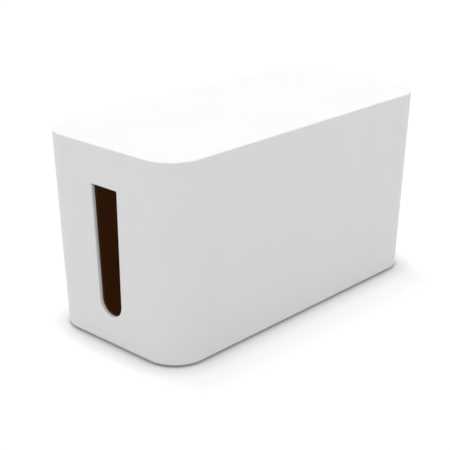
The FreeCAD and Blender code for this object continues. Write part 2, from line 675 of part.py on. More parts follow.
def outlet_face(x):
    """An outlet's insert: the face, a flange under the cover and the three openings."""
    top = STRIP_TOP - FACE_SINK
    low = top - FACE_DEPTH
    face = rounded_block(x, OUTLET_Y, low, FACE_LENGTH, FACE_WIDTH, FACE_DEPTH, FACE_CORNER)
    face = face.makeFillet(FACE_EDGE_RADIUS, edges_at(face, top))
    length, width = FACE_LENGTH + 2 * FLANGE_REACH, FACE_WIDTH + 2 * FLANGE_REACH
    flange_z = COVER_UNDER - FLANGE_THICKNESS
    flange = rounded_block(x, OUTLET_Y, flange_z, length, width, FLANGE_THICKNESS, FACE_CORNER + FLANGE_REACH)
    half = BLADE_SPACING / 2
    earth_y = BLADE_Y - EARTH_DROP
    depth = FACE_DEPTH + 2 * OVERRUN
    openings = [
        centred_block(x - half, BLADE_Y, low - OVERRUN, BLADE_SLOT_WIDTH, NEUTRAL_SLOT_LENGTH, depth),
        centred_block(x + half, BLADE_Y, low - OVERRUN, BLADE_SLOT_WIDTH, LIVE_SLOT_LENGTH, depth),
        upright(EARTH_SLOT_RADIUS, depth, x, earth_y, low - OVERRUN),
        block(x - EARTH_SLOT_RADIUS, x + EARTH_SLOT_RADIUS, earth_y, earth_y + EARTH_SLOT_RADIUS,
              low - OVERRUN, low - OVERRUN + depth),
    ]
    return joined([face, flange]).cut(openings)


def blade_clip(x, y_bar, y_end):
    """The two leaves that grip a blade at x, from the bar to y_end."""
    inner = LEAF_GAP / 2
    outer = inner + LEAF_THICKNESS
    y0, y1 = min(y_bar, y_end), max(y_bar, y_end)
    return [
        block(x - outer, x - inner, y0, y1, BAR_Z, BAR_Z + LEAF_HEIGHT),
        block(x + inner, x + outer, y0, y1, BAR_Z, BAR_Z + LEAF_HEIGHT),
    ]


def bar(y):
    """The straight run of a contact bar, from the first rib to past the last outlet."""
    end = outlet_places()[-1] + BLADE_SPACING / 2 + BAR_END
    return block(BAR_START, end, y, y + BAR_THICKNESS, BAR_Z, BAR_Z + BAR_HEIGHT)


def bar_end(y):
    """The middle of a bar's end face, where its wire meets it."""
    return Vector(BAR_START, y + BAR_THICKNESS / 2, BAR_Z + BAR_HEIGHT / 2)


def live_bar():
    """The live contact bar, with a clip at each outlet."""
    pieces = [bar(LIVE_BAR_Y)]
    for x in outlet_places():
        pieces += blade_clip(x + BLADE_SPACING / 2, LIVE_BAR_Y + BAR_THICKNESS, BLADE_Y - LEAF_REACH)
    return joined(pieces)


def neutral_bar():
    """The neutral contact bar, with a clip at each outlet."""
    pieces = [bar(NEUTRAL_BAR_Y)]
    for x in outlet_places():
        pieces += blade_clip(x - BLADE_SPACING / 2, NEUTRAL_BAR_Y, BLADE_Y + LEAF_REACH)
    return joined(pieces)


def earth_bar():
    """The earth contact bar, with a round clip on an arm at each outlet."""
    pieces = [bar(EARTH_BAR_Y)]
    outer = EARTH_CLIP_RADIUS + EARTH_CLIP_WALL
    y = BLADE_Y - EARTH_DROP
    for x in outlet_places():
        bore = upright(EARTH_CLIP_RADIUS, LEAF_HEIGHT, x, y, BAR_Z)
        pieces.append(upright(outer, LEAF_HEIGHT, x, y, BAR_Z).cut(bore))
        arm_end = y - EARTH_CLIP_RADIUS - EARTH_CLIP_WALL / 2
        pieces.append(block(x - BAR_THICKNESS / 2, x + BAR_THICKNESS / 2, EARTH_BAR_Y, arm_end,
                            BAR_Z, BAR_Z + BAR_HEIGHT))
    return joined(pieces)


# The rocker switch


def switch_housing():
    """The switch's body and flange, with a well for the rocker."""
    flange = rounded_block(SWITCH_X, SWITCH_Y, STRIP_TOP, SWITCH_FLANGE_LENGTH, SWITCH_FLANGE_WIDTH,
                           SWITCH_FLANGE_THICKNESS, SWITCH_FLANGE_CORNER)
    top = STRIP_TOP + SWITCH_FLANGE_THICKNESS
    flange = flange.makeChamfer(SWITCH_FLANGE_THICKNESS / 3, edges_at(flange, top))
    body = centred_block(SWITCH_X, SWITCH_Y, SWITCH_BOTTOM, SWITCH_BODY_LENGTH, SWITCH_BODY_WIDTH,
                         SWITCH_BODY_DEPTH)
    well_floor = PIVOT_Z - ROCKER_KEEL - 3 * ROCKER_GAP
    well = centred_block(SWITCH_X, SWITCH_Y, well_floor, SWITCH_BODY_LENGTH - 2 * SWITCH_WALL,
                         SWITCH_BODY_WIDTH - 2 * SWITCH_WALL, top - well_floor + OVERRUN)
    holes = trunnions(TRUNNION_RADIUS + TRUNNION_GAP, TRUNNION_REACH + TRUNNION_GAP)
    return joined([flange, body]).cut([well, holes])


def rocker_width():
    """The rocker's width, which leaves a gap to the well on each side."""
    return SWITCH_BODY_WIDTH - 2 * SWITCH_WALL - 2 * ROCKER_GAP


def trunnions(radius, reach):
    """The rocker's axle stubs as one cylinder, reaching into the switch's side walls."""
    length = SWITCH_BODY_WIDTH - 2 * SWITCH_WALL + 2 * reach
    return Part.makeCylinder(radius, length, Vector(SWITCH_X, SWITCH_Y - length / 2, PIVOT_Z), Y_AXIS)


def rocker():
    """The rocker, tipped to its off side."""
    half = ROCKER_LENGTH / 2
    keel = ROCKER_KEEL_WIDTH / 2
    y = SWITCH_Y - rocker_width() / 2
    outline = [
        (-half, ROCKER_END_RISE), (0, ROCKER_DIP_RISE), (half, ROCKER_END_RISE), (half, ROCKER_LIP),
        (keel, -ROCKER_KEEL), (-keel, -ROCKER_KEEL), (-half, ROCKER_LIP),
    ]
    face = polygon_face([Vector(SWITCH_X + x, y, PIVOT_Z + z) for x, z in outline])
    paddle = face.extrude(Y_AXIS * rocker_width())
    high = PIVOT_Z + (ROCKER_DIP_RISE + ROCKER_END_RISE) / 2
    ends = [e for e in paddle.Edges if e.BoundBox.ZMin > high and e.BoundBox.XLength < half / 2]
    body = joined([paddle.makeFillet(ROCKER_EDGE_RADIUS, ends), trunnions(TRUNNION_RADIUS, TRUNNION_REACH)])
    body.rotate(Vector(SWITCH_X, SWITCH_Y, PIVOT_Z), Y_AXIS, -ROCKER_TILT_DEG)
    return body


def tab_row(ends):
    """A row of solder tabs from their lower ends."""
    return Part.makeCompound([
        centred_block(end.x, end.y, end.z, TAB_THICKNESS, TAB_WIDTH, TAB_LENGTH) for end in ends
    ])


def switch_tab_ends():
    """The lower ends of the switch's solder tabs."""
    steps = [i - (SWITCH_TAB_COUNT - 1) / 2 for i in range(SWITCH_TAB_COUNT)]
    return [Vector(SWITCH_X + step * SWITCH_TAB_PITCH, SWITCH_Y, SWITCH_BOTTOM - TAB_LENGTH) for step in steps]


# The breaker


def breaker_body():
    """The breaker's block and its neck, with a chamber for the button's flange and spring."""
    x, y = BREAKER_X, BREAKER_Y
    body = centred_block(x, y, BREAKER_BOTTOM, BREAKER_LENGTH, BREAKER_WIDTH, BREAKER_BODY_DEPTH)
    neck_top = STRIP_TOP + NECK_STAND
    neck = upright(NECK_RADIUS, neck_top - BREAKER_BOTTOM, x, y, BREAKER_BOTTOM)
    chamber = upright(CHAMBER_RADIUS, CHAMBER_TOP - SPRING_FOOT, x, y, SPRING_FOOT)
    bore = upright(BUTTON_RADIUS + BUTTON_GAP, neck_top - SPRING_FOOT + OVERRUN, x, y, SPRING_FOOT)
    return joined([body, neck]).cut([chamber, bore])


def breaker_nut():
    """The six-sided nut that clamps the neck to the cover."""
    middle = Vector(BREAKER_X, BREAKER_Y, STRIP_TOP)
    angles = [2 * math.pi * i / NUT_SIDES for i in range(NUT_SIDES)]
    corners = [middle + Vector(math.cos(angle), math.sin(angle), 0) * NUT_RADIUS for angle in angles]
    prism = polygon_face(corners).extrude(Z_AXIS * NUT_HEIGHT)
    prism = prism.makeChamfer(NUT_HEIGHT / 8, edges_at(prism, STRIP_TOP + NUT_HEIGHT))
    return prism.cut(upright(NECK_RADIUS + THREAD_GAP, NUT_HEIGHT, BREAKER_X, BREAKER_Y, STRIP_TOP))


def reset_button():
    """The push button, with the flange that keeps it in its chamber."""
    top = STRIP_TOP + NECK_STAND + BUTTON_TRAVEL + BUTTON_PROUD
    stem = upright(BUTTON_RADIUS, top - SPRING_TOP, BREAKER_X, BREAKER_Y, SPRING_TOP)
    stem = stem.makeFillet(BUTTON_EDGE_RADIUS, edges_at(stem, top))
    flange = upright(BUTTON_FLANGE_RADIUS, BUTTON_FLANGE_THICKNESS, BREAKER_X, BREAKER_Y, SPRING_TOP)
    return joined([stem, flange])


def arc_to(start, tangent, end):
    """The arc that leaves start along tangent and passes through end."""
    chord = end - start
    across = tangent - chord * (tangent.dot(chord) / chord.dot(chord))
    rise = chord.Length / 2 * math.tan(tangent.getAngle(chord) / 2)
    return Part.Arc(start, (start + end) / 2 + across.normalize() * rise, end).toShape()


def biarc(start, leave, end, arrive):
    """Two tangent arcs from start to end, with the directions of travel there."""
    chord = end - start
    both = leave + arrive
    a, b, c = both.dot(both) - 4, -2 * chord.dot(both), chord.dot(chord)
    reach = (-b - math.sqrt(b * b - 4 * a * c)) / (2 * a)
    middle = (start + leave * reach + end - arrive * reach) / 2
    across = (middle - start - leave * reach).normalize()
    return [arc_to(start, leave, middle), arc_to(middle, across, end)]


def reset_spring():
    """The coil spring under the button, from the chamber's floor to the button's flange."""
    spans = TURN_SPANS * SPRING_TURNS
    rise = (SPRING_TOP - SPRING_FOOT - 2 * SPRING_WIRE_RADIUS) / spans
    places, directions = [], []
    for i in range(spans + 1):
        angle = 2 * math.pi * i / TURN_SPANS
        across = Vector(math.cos(angle), math.sin(angle), 0)
        along = Vector(-math.sin(angle), math.cos(angle), rise * TURN_SPANS / (2 * math.pi * SPRING_RADIUS))
        low = SPRING_FOOT + SPRING_WIRE_RADIUS + i * rise
        places.append(Vector(BREAKER_X, BREAKER_Y, low) + across * SPRING_RADIUS)
        directions.append(along.normalize())
    arcs = []
    for i in range(spans):
        arcs += biarc(places[i], directions[i], places[i + 1], directions[i + 1])
    section = Part.Wire(Part.makeCircle(SPRING_WIRE_RADIUS, places[0], directions[0]))
    print(f"reset_spring: least gap between turns {TURN_SPANS * rise - 2 * SPRING_WIRE_RADIUS:.2f} mm")
    return Part.Wire(arcs).makePipeShell([section], True, False)


def breaker_tab_ends():
    """The lower ends of the breaker's solder tabs."""
    steps = [i - (BREAKER_TAB_COUNT - 1) / 2 for i in range(BREAKER_TAB_COUNT)]
    low = BREAKER_BOTTOM - TAB_LENGTH
    return [Vector(BREAKER_X + step * BREAKER_TAB_PITCH, BREAKER_Y, low) for step in steps]


# The indicator


def indicator_lens():
    """The indicator's lens, with a dome above the cover and a barrel for the lamp below it."""
    barrel_foot = COVER_UNDER - LENS_BARREL
    stem = upright(LENS_RADIUS, STRIP_TOP + LENS_DOME - barrel_foot, LENS_X, LENS_Y, barrel_foot)
    stem = stem.makeFillet(LENS_DOME, edges_at(stem, STRIP_TOP + LENS_DOME))
    flange = upright(LENS_FLANGE_RADIUS, LENS_FLANGE_THICKNESS, LENS_X, LENS_Y, COVER_UNDER - LENS_FLANGE_THICKNESS)
    bore = upright(LED_RADIUS + LED_GAP, LED_HEIGHT + LED_GAP, LENS_X, LENS_Y, barrel_foot)
    return joined([stem, flange]).cut(bore)


def indicator_lamp():
    """The small lamp in the lens's barrel, with its rim and two legs."""
    z = COVER_UNDER - LENS_BARREL
    bulb = upright(LED_RADIUS, LED_HEIGHT + LED_RIM_HEIGHT, LENS_X, LENS_Y, z - LED_RIM_HEIGHT)
    bulb = bulb.makeFillet(LED_RADIUS / 2, edges_at(bulb, z + LED_HEIGHT))
    rim = upright(LED_RIM_RADIUS, LED_RIM_HEIGHT, LENS_X, LENS_Y, z - LED_RIM_HEIGHT)
    legs = [
        centred_block(LENS_X + side * LED_LEG_PITCH / 2, LENS_Y, z - LED_RIM_HEIGHT - LED_LEG_LENGTH,
                      LED_LEG_WIDTH, LED_LEG_WIDTH, LED_LEG_LENGTH + LED_RIM_HEIGHT / 2)
        for side in (-1, 1)
    ]
    return joined([bulb, rim] + legs)


# The surge board and its components


def surge_board():
    """The circuit board, with holes for the posts' pins and the components' legs."""
    middle = BOARD_X + BOARD_LENGTH / 2
    board = rounded_block(middle, 0, BOARD_Z, BOARD_LENGTH, BOARD_WIDTH, BOARD_THICKNESS, BOARD_CORNER)
    holes = [upright(POST_PIN_RADIUS + FIT_GAP, BOARD_THICKNESS, x, y, BOARD_Z) for x, y in board_post_places()]
    for x, y in varistor_legs() + fuse_legs() + capacitor_legs() + board_lead_places():
        holes.append(upright(LEG_RADIUS + THREAD_GAP, BOARD_THICKNESS, x, y, BOARD_Z))
    return board.cut(holes)


def board_lead_places():
    """Where the board's three leads rise, one under each contact bar."""
    x = BOARD_X + LEAD_START
    return [(x, y + BAR_THICKNESS / 2) for y in (LIVE_BAR_Y, NEUTRAL_BAR_Y, EARTH_BAR_Y)]


def board_leads():
    """The three leads that join the board to the contact bars."""
    low = BOARD_Z - LEAD_STAND
    return Part.makeCompound([upright(LEG_RADIUS, BAR_Z - low, x, y, low) for x, y in board_lead_places()])


def leg(x, y, top):
    """A component's wire leg, from top down through the board."""
    low = BOARD_TOP + LEG_STAND - LEG_LENGTH
    return upright(LEG_RADIUS, top - low, x, y, low)


def varistor_places():
    """Where the varistors stand along the board."""
    return [BOARD_X + VARISTOR_START + i * VARISTOR_PITCH for i in range(VARISTOR_COUNT)]


def varistor_legs():
    """The places of the varistors' legs, two to each disc."""
    return [(x + side * VARISTOR_RADIUS / 2, VARISTOR_Y) for x in varistor_places() for side in (-1, 1)]


def varistors():
    """The surge absorbers: upright discs on two legs each."""
    middle = BOARD_TOP + LEG_STAND + VARISTOR_RADIUS
    discs = []
    for x in varistor_places():
        start = Vector(x, VARISTOR_Y - VARISTOR_THICKNESS / 2, middle)
        disc = Part.makeCylinder(VARISTOR_RADIUS, VARISTOR_THICKNESS, start, Y_AXIS)
        disc = disc.makeFillet(VARISTOR_THICKNESS / 4, [e for e in disc.Edges if e.BoundBox.YLength < FIT_GAP])
        legs = [leg(x + side * VARISTOR_RADIUS / 2, VARISTOR_Y, middle - VARISTOR_RADIUS / 2) for side in (-1, 1)]
        discs.append(joined([disc] + legs))
    return Part.makeCompound(discs)


def fuse_legs():
    """The places of the thermal fuse's legs."""
    start = BOARD_X + FUSE_START
    return [(start - 2 * LEG_RADIUS, FUSE_Y), (start + FUSE_LENGTH + 2 * LEG_RADIUS, FUSE_Y)]


def thermal_fuse():
    """The thermal fuse, which lies over the board on two bent legs."""
    start = BOARD_X + FUSE_START
    middle = BOARD_TOP + LEG_STAND + FUSE_RADIUS
    barrel = Part.makeCylinder(FUSE_RADIUS, FUSE_LENGTH, Vector(start, FUSE_Y, middle), X_AXIS)
    barrel = barrel.makeFillet(FUSE_RADIUS / 3, [e for e in barrel.Edges if e.BoundBox.XLength < FIT_GAP])
    reach = 3 * LEG_RADIUS
    stub = Part.makeCylinder(LEG_RADIUS, FUSE_LENGTH + 2 * reach, Vector(start - reach, FUSE_Y, middle), X_AXIS)
    legs = [leg(x, y, middle) for x, y in fuse_legs()]
    return joined([barrel, stub] + legs)


def capacitor_legs():
    """The places of the capacitor's legs."""
    x0 = BOARD_X + CAPACITOR_START + 4 * LEG_RADIUS
    x1 = BOARD_X + CAPACITOR_START + CAPACITOR_LENGTH - 4 * LEG_RADIUS
    return [(x0, FUSE_Y), (x1, FUSE_Y)]


def filter_capacitor():
    """The boxed capacitor that stands on the board."""
    middle = BOARD_X + CAPACITOR_START + CAPACITOR_LENGTH / 2
    low = BOARD_TOP + LEG_STAND / 4
    body = centred_block(middle, FUSE_Y, low, CAPACITOR_LENGTH, CAPACITOR_WIDTH, CAPACITOR_HEIGHT)
    body = body.makeFillet(CAPACITOR_RADIUS, [e for e in body.Edges if e.BoundBox.ZMax > low + CAPACITOR_HEIGHT / 4])
    legs = [leg(x, y, low + CAPACITOR_HEIGHT / 4) for x, y in capacitor_legs()]
    return joined([body] + legs)


# The mains inlet


def lying_block(x0, x1, width, height, corner):
    """A box along X with round corners, about the inlet's middle."""
    body = block(x0, x1, -width / 2, width / 2, INLET_Z - height / 2, INLET_Z + height / 2)
    return body.makeFillet(corner, [e for e in body.Edges if e.BoundBox.XLength > (x1 - x0) / 2])


def inlet_housing():
    """The inlet's body and bezel, with the six-sided recess that takes the lead's connector."""
    front = STRIP_START - BEZEL_THICKNESS
    bezel = lying_block(front, STRIP_START, BEZEL_WIDTH, BEZEL_HEIGHT, BEZEL_CORNER)
    body = lying_block(front + BEZEL_THICKNESS / 2, STRIP_START + INLET_BODY_DEPTH, INLET_BODY_WIDTH,
                       INLET_BODY_HEIGHT, INLET_BODY_CORNER)
    y, z = RECESS_WIDTH / 2, RECESS_HEIGHT / 2
    outline = [(-y, -z), (y, -z), (y, z - RECESS_BEVEL), (y - RECESS_BEVEL, z), (RECESS_BEVEL - y, z),
               (-y, z - RECESS_BEVEL)]
    x = front - OVERRUN
    recess = polygon_face([Vector(x, side, INLET_Z + up) for side, up in outline]).extrude(
        X_AXIS * (RECESS_DEPTH + OVERRUN))
    return joined([bezel, body]).cut([recess] + inlet_prongs())


def inlet_tab_ends():
    """The middles of the ends of the inlet's tabs: live, earth and neutral."""
    x = STRIP_START + INLET_BODY_DEPTH + INLET_TAB_LENGTH
    return [
        Vector(x, -PRONG_SPACING / 2, INLET_Z - LINE_PRONG_DROP),
        Vector(x, 0, INLET_Z + EARTH_PRONG_RISE),
        Vector(x, PRONG_SPACING / 2, INLET_Z - LINE_PRONG_DROP),
    ]


def inlet_prongs():
    """The three prongs of the inlet, each with the tab behind it, as separate solids."""
    floor_x = STRIP_START - BEZEL_THICKNESS + RECESS_DEPTH
    back = STRIP_START + INLET_BODY_DEPTH
    prongs = []
    for end in inlet_tab_ends():
        prong = block(floor_x - PRONG_LENGTH, (floor_x + back) / 2, end.y - PRONG_WIDTH / 2,
                      end.y + PRONG_WIDTH / 2, end.z - PRONG_HEIGHT / 2, end.z + PRONG_HEIGHT / 2)
        tip = [e for e in prong.Edges if e.BoundBox.XMax < floor_x - PRONG_LENGTH / 2]
        prong = prong.makeChamfer(PRONG_WIDTH / 4, tip)
        tab = block(floor_x, end.x, end.y - TAB_THICKNESS / 2, end.y + TAB_THICKNESS / 2,
                    end.z - INLET_TAB_HEIGHT / 2, end.z + INLET_TAB_HEIGHT / 2)
        prongs.append(joined([prong, tab]))
    return prongs


# The wires


def rod(start, end):
    """A straight length of insulated wire."""
    return Part.makeCylinder(WIRE_RADIUS, (end - start).Length, start, end - start)


def wire(points):
    """An insulated wire along straight runs joined by tangent arcs, as wide as its runs allow."""
    pieces = []
    start = points[0]
    for before, corner, after in zip(points, points[1:], points[2:]):
        arrive = (corner - before).normalize()
        leave = (after - corner).normalize()
        cut = BEND_SHARE * min((corner - before).Length, (after - corner).Length)
        turn = arrive.getAngle(leave)
        axis = arrive.cross(leave).normalize()
        arc_start = corner - arrive * cut
        centre = arc_start + axis.cross(arrive) * (cut / math.tan(turn / 2))
        section = Part.Face(Part.Wire(Part.makeCircle(WIRE_RADIUS, arc_start, arrive)))
        pieces.append(rod(start, arc_start))
        pieces.append(section.revolve(centre, axis, math.degrees(turn)))
        start = corner + leave * cut
    pieces.append(rod(start, points[-1]))
    return joined(pieces)


def lowered(point):
    """The point under another at the height of the lowest wires."""
    return Vector(point.x, point.y, WIRE_Z)


def live_inlet_wire():
    """The live wire from the inlet down to the breaker's first tab."""
    start, end = inlet_tab_ends()[0], breaker_tab_ends()[0]
    turn_x = start.x + WIRE_RUN_OUT
    return wire([start, Vector(turn_x, start.y, start.z), Vector(turn_x, end.y, WIRE_Z), lowered(end), end])


def live_switch_wire():
    """The live wire from the breaker, under the other wires, to the switch's middle tab."""
    start, end = breaker_tab_ends()[1], switch_tab_ends()[1]
    return wire([start, lowered(start), lowered(end), end])


def live_bar_wire():
    """The switched live wire from the switch's last tab up to the live bar."""
    start, end = switch_tab_ends()[2], bar_end(LIVE_BAR_Y)
    rise_x = end.x - WIRE_RUN_OUT
    return wire([start, lowered(start), Vector(rise_x, end.y, WIRE_Z), Vector(rise_x, end.y, end.z), end])


def neutral_wire():
    """The neutral wire from the inlet to the neutral bar."""
    start, end = inlet_tab_ends()[2], bar_end(NEUTRAL_BAR_Y)
    turn_x = start.x + WIRE_RUN_OUT
    return wire([start, Vector(turn_x, start.y, start.z), Vector(turn_x + WIRE_RUN_OUT, end.y, end.z), end])


def earth_wire():
    """The earth wire from the inlet, past the breaker's side, to the earth bar."""
    start, end = inlet_tab_ends()[1], bar_end(EARTH_BAR_Y)
    turn_x = start.x + WIRE_RUN_OUT
    side_y = BREAKER_Y + BREAKER_WIDTH / 2 + WIRE_SIDE_GAP + WIRE_RADIUS
    last_x = end.x - WIRE_RUN_OUT
    return wire([
        start,
        Vector(turn_x, start.y, start.z),
        Vector(turn_x + WIRE_RUN_OUT, side_y, end.z),
        Vector(last_x, side_y, end.z),
        Vector(last_x, end.y, end.z),
        end,
    ])


def nodes():
    """Every sub-part of the object, by name."""
    made = {
        "outer_case": outer_case(),
        "inner_liner": inner_liner(),
        "lid": lid(),
        "liner_screws": liner_screws(),
        "strip_base": strip_base(),
        "strip_cover": strip_cover(),
        "cover_screws": cover_screws(),
        "live_bar": live_bar(),
        "neutral_bar": neutral_bar(),
        "earth_bar": earth_bar(),
        "switch_housing": switch_housing(),
        "rocker": rocker(),
        "switch_tabs": tab_row(switch_tab_ends()),
        "breaker_body": breaker_body(),
        "breaker_nut": breaker_nut(),
        "breaker_tabs": tab_row(breaker_tab_ends()),
        "reset_button": reset_button(),
        "reset_spring": reset_spring(),
        "indicator_lens": indicator_lens(),
        "indicator_lamp": indicator_lamp(),
        "surge_board": surge_board(),
        "varistors": varistors(),
        "thermal_fuse": thermal_fuse(),
        "filter_capacitor": filter_capacitor(),
        "inlet_housing": inlet_housing(),
        "inlet_prongs": Part.makeCompound(inlet_prongs()),
        "board_leads": board_leads(),
        "live_inlet_wire": live_inlet_wire(),
        "live_switch_wire": live_switch_wire(),
        "live_bar_wire": live_bar_wire(),
        "neutral_wire": neutral_wire(),
        "earth_wire": earth_wire(),
    }
    for name, x, y in foot_places():
        made[name] = foot(x, y)
    for i, x in enumerate(outlet_places()):
        made[f"outlet_face_{i + 1}"] = outlet_face(x)
    return made


def main():
    """Writes one STEP file for each sub-part."""
    os.makedirs("parts", exist_ok=True)
    for name, shape in nodes().items():
        shape.exportStep(os.path.join("parts", name + ".step"))
        print(f"{name}: {len(shape.Solids)} solids, {shape.Volume / 1000:.2f} cm3, valid {shape.isValid()}")


main()
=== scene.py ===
"""Looks of a cable management box with its power strip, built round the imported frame."""

import logging
import math
from collections.abc import Callable, Iterator
from contextlib import contextmanager
from dataclasses import dataclass
from enum import Enum
from functools import cache
from typing import NamedTuple

import bmesh
import bpy
from mathutils import Matrix, Vector

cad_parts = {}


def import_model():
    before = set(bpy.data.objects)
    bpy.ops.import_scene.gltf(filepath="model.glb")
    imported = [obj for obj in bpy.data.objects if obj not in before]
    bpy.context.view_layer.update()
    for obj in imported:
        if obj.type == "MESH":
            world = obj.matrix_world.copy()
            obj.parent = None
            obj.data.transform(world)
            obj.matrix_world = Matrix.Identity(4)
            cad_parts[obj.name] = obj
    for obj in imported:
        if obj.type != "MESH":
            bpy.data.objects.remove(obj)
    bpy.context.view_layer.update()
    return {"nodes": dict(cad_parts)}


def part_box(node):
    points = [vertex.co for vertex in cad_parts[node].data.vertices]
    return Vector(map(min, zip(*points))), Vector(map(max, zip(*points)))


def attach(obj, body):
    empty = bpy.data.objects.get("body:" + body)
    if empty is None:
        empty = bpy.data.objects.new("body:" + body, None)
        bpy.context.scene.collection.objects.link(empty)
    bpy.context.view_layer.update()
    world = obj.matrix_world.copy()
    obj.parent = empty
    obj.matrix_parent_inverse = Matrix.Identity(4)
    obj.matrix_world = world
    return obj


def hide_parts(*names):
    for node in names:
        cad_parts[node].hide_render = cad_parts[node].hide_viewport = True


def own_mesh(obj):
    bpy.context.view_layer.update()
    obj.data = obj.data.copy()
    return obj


LOG = logging.getLogger("cable_box")
MM = 0.001  # metres in a millimetre; pieces are modelled in millimetres
FLAT = 0.02  # millimetres by which points of one plane may differ
PAST = 5.0  # millimetres by which a cutter passes the face that it cuts
SOFT_DEG = 32.0  # a mould or a tool rounds what is sharper
CREASE_DEG = 40.0  # what is sharper stays a crease in the shading
ALIGNED = 0.99  # share of a direction along an axis from which it counts as along it

# Sides of round forms, from the large ones to the screw holes
ROUND_SIDES = 64
BORE_SIDES = 48
PIN_SIDES = 40
AXLE_SIDES = 32
HOLE_SIDES = 24

Object = bpy.types.Object
Material = bpy.types.Material
Tree = bpy.types.NodeTree
Node = bpy.types.Node
Socket = bpy.types.NodeSocket
Settings = dict[str | int, object]
Links = dict[str | int, Socket]
Test = Callable[[Vector, Vector], bool]


class Body(Enum):
    """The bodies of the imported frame."""

    ROOT = "root"
    LID = "lid"
    ROCKER = "rocker"
    BUTTON = "button"


class Part(Enum):
    """What an edit-mode operator acts on."""

    POINTS = "VERT"
    EDGES = "EDGE"
    FACES = "FACE"


class Axis(Enum):
    """The axes, by their place in a vector."""

    X = 0
    Y = 1
    Z = 2


class Join(Enum):
    """What becomes of two shapes."""

    CUT = "DIFFERENCE"
    WELD = "UNION"
    MEET = "INTERSECT"


# Modelling by hand


def up(height: float) -> Vector:
    """A step straight up."""
    return Vector((0, 0, height))


def only(piece: Object) -> None:
    """Makes a piece the one selected and active object.

    Args:
        piece: The object to work on.
    """
    bpy.ops.object.select_all(action="DESELECT")
    piece.select_set(True)
    bpy.context.view_layer.objects.active = piece


@contextmanager
def editing(piece: Object) -> Iterator[None]:
    """Edit mode on one piece, with nothing selected at the start.

    Args:
        piece: The object to edit.
    """
    only(piece)
    bpy.ops.object.mode_set(mode="EDIT")
    bpy.ops.mesh.select_all(action="DESELECT")
    yield
    bpy.ops.object.mode_set(mode="OBJECT")


def pick(part: Part, test: Test) -> None:
    """Selects the points, edges or faces of the piece in edit mode that pass a test.

    Args:
        part: What is selected.
        test: Takes the middle of an element, and its normal or an edge's direction.
    """
    bpy.ops.mesh.select_mode(type=part.value)
    bpy.ops.mesh.select_all(action="DESELECT")
    mesh = bmesh.from_edit_mesh(bpy.context.edit_object.data)
    if part is Part.POINTS:
        found = [v for v in mesh.verts if test(v.co, v.normal)]
    elif part is Part.FACES:
        found = [f for f in mesh.faces if test(f.calc_center_median(), f.normal)]
    else:
        ends = ((e, e.verts[0].co, e.verts[1].co) for e in mesh.edges)
        found = [e for e, a, b in ends if test((a + b) / 2, (b - a).normalized())]
    for element in found:
        element.select_set(True)
    mesh.select_flush_mode()
    bmesh.update_edit_mesh(bpy.context.edit_object.data)


def along(axis: Axis) -> Test:
    """A test for edges that run along an axis."""
    return lambda middle, way: abs(way[axis.value]) > ALIGNED


def at_height(z: float) -> Test:
    """A test for points at a height."""
    return lambda middle, way: abs(middle.z - z) < FLAT


def rim_at(z: float) -> Test:
    """A test for the level edges at a height."""
    return lambda middle, way: abs(middle.z - z) < FLAT and abs(way.z) < FLAT


def top_at(z: float) -> Test:
    """A test for the level face at a height that looks up."""
    return lambda middle, way: way.z > ALIGNED and middle.z > z - FLAT


def inset(*widths: float) -> None:
    """Insets the selected faces by one width after another."""
    for width in widths:
        bpy.ops.mesh.inset(thickness=width)


def extrude(height: float) -> None:
    """Extrudes the selected faces straight up, or down where the height is negative."""
    bpy.ops.mesh.extrude_region_move(TRANSFORM_OT_translate={"value": (0, 0, height)})


def lift(height: float) -> None:
    """Moves what is selected straight up, or down where the height is negative."""
    bpy.ops.transform.translate(value=(0, 0, height))


def stretch(shares: tuple[float, float, float], centre: Vector) -> None:
    """Scales what is selected along each axis, from a centre."""
    bpy.ops.transform.resize(value=shares, center_override=centre)


def merge() -> None:
    """Merges doubled points and flat faces of the piece in edit mode."""
    bpy.ops.mesh.select_all(action="SELECT")
    bpy.ops.mesh.remove_doubles(threshold=FLAT / 4)
    bpy.ops.mesh.dissolve_limited(angle_limit=math.radians(0.05))


def settle(piece: Object) -> Object:
    """Puts a piece's place, turn and scale into its mesh.

    Args:
        piece: The object to settle.

    Returns:
        The same object.
    """
    only(piece)
    bpy.ops.object.transform_apply(location=True, rotation=True, scale=True)
    return piece


def turn(piece: Object, centre: Vector, angle_deg: float, axis: Axis) -> Object:
    """Turns a piece about a point.

    Args:
        piece: The piece.
        centre: The point.
        angle_deg: The angle.
        axis: The axis to turn about.

    Returns:
        The same piece.
    """
    rotation = Matrix.Rotation(math.radians(angle_deg), 4, axis.name)
    piece.matrix_world = Matrix.Translation(centre) @ rotation @ Matrix.Translation(-centre)
    return settle(piece)


def modify(piece: Object, kind: str, **settings: object) -> Object:
    """Gives a piece a modifier and applies it.

    Args:
        piece: The piece.
        kind: Blender's name for the modifier.
        settings: Its settings by name.

    Returns:
        The same piece.
    """
    only(piece)
    modifier = piece.modifiers.new(kind.lower(), kind)
    for name, value in settings.items():
        setattr(modifier, name, value)
    bpy.ops.object.modifier_apply(modifier=modifier.name)
    return piece


def brick(low: Vector, high: Vector) -> Object:
    """A box between two corners.

    Args:
        low: Its lowest corner.
        high: Its highest corner.

    Returns:
        The new piece.
    """
    bpy.ops.mesh.primitive_cube_add(size=1, location=(low + high) / 2)
    piece = bpy.context.object
    piece.scale = high - low
    return settle(piece)


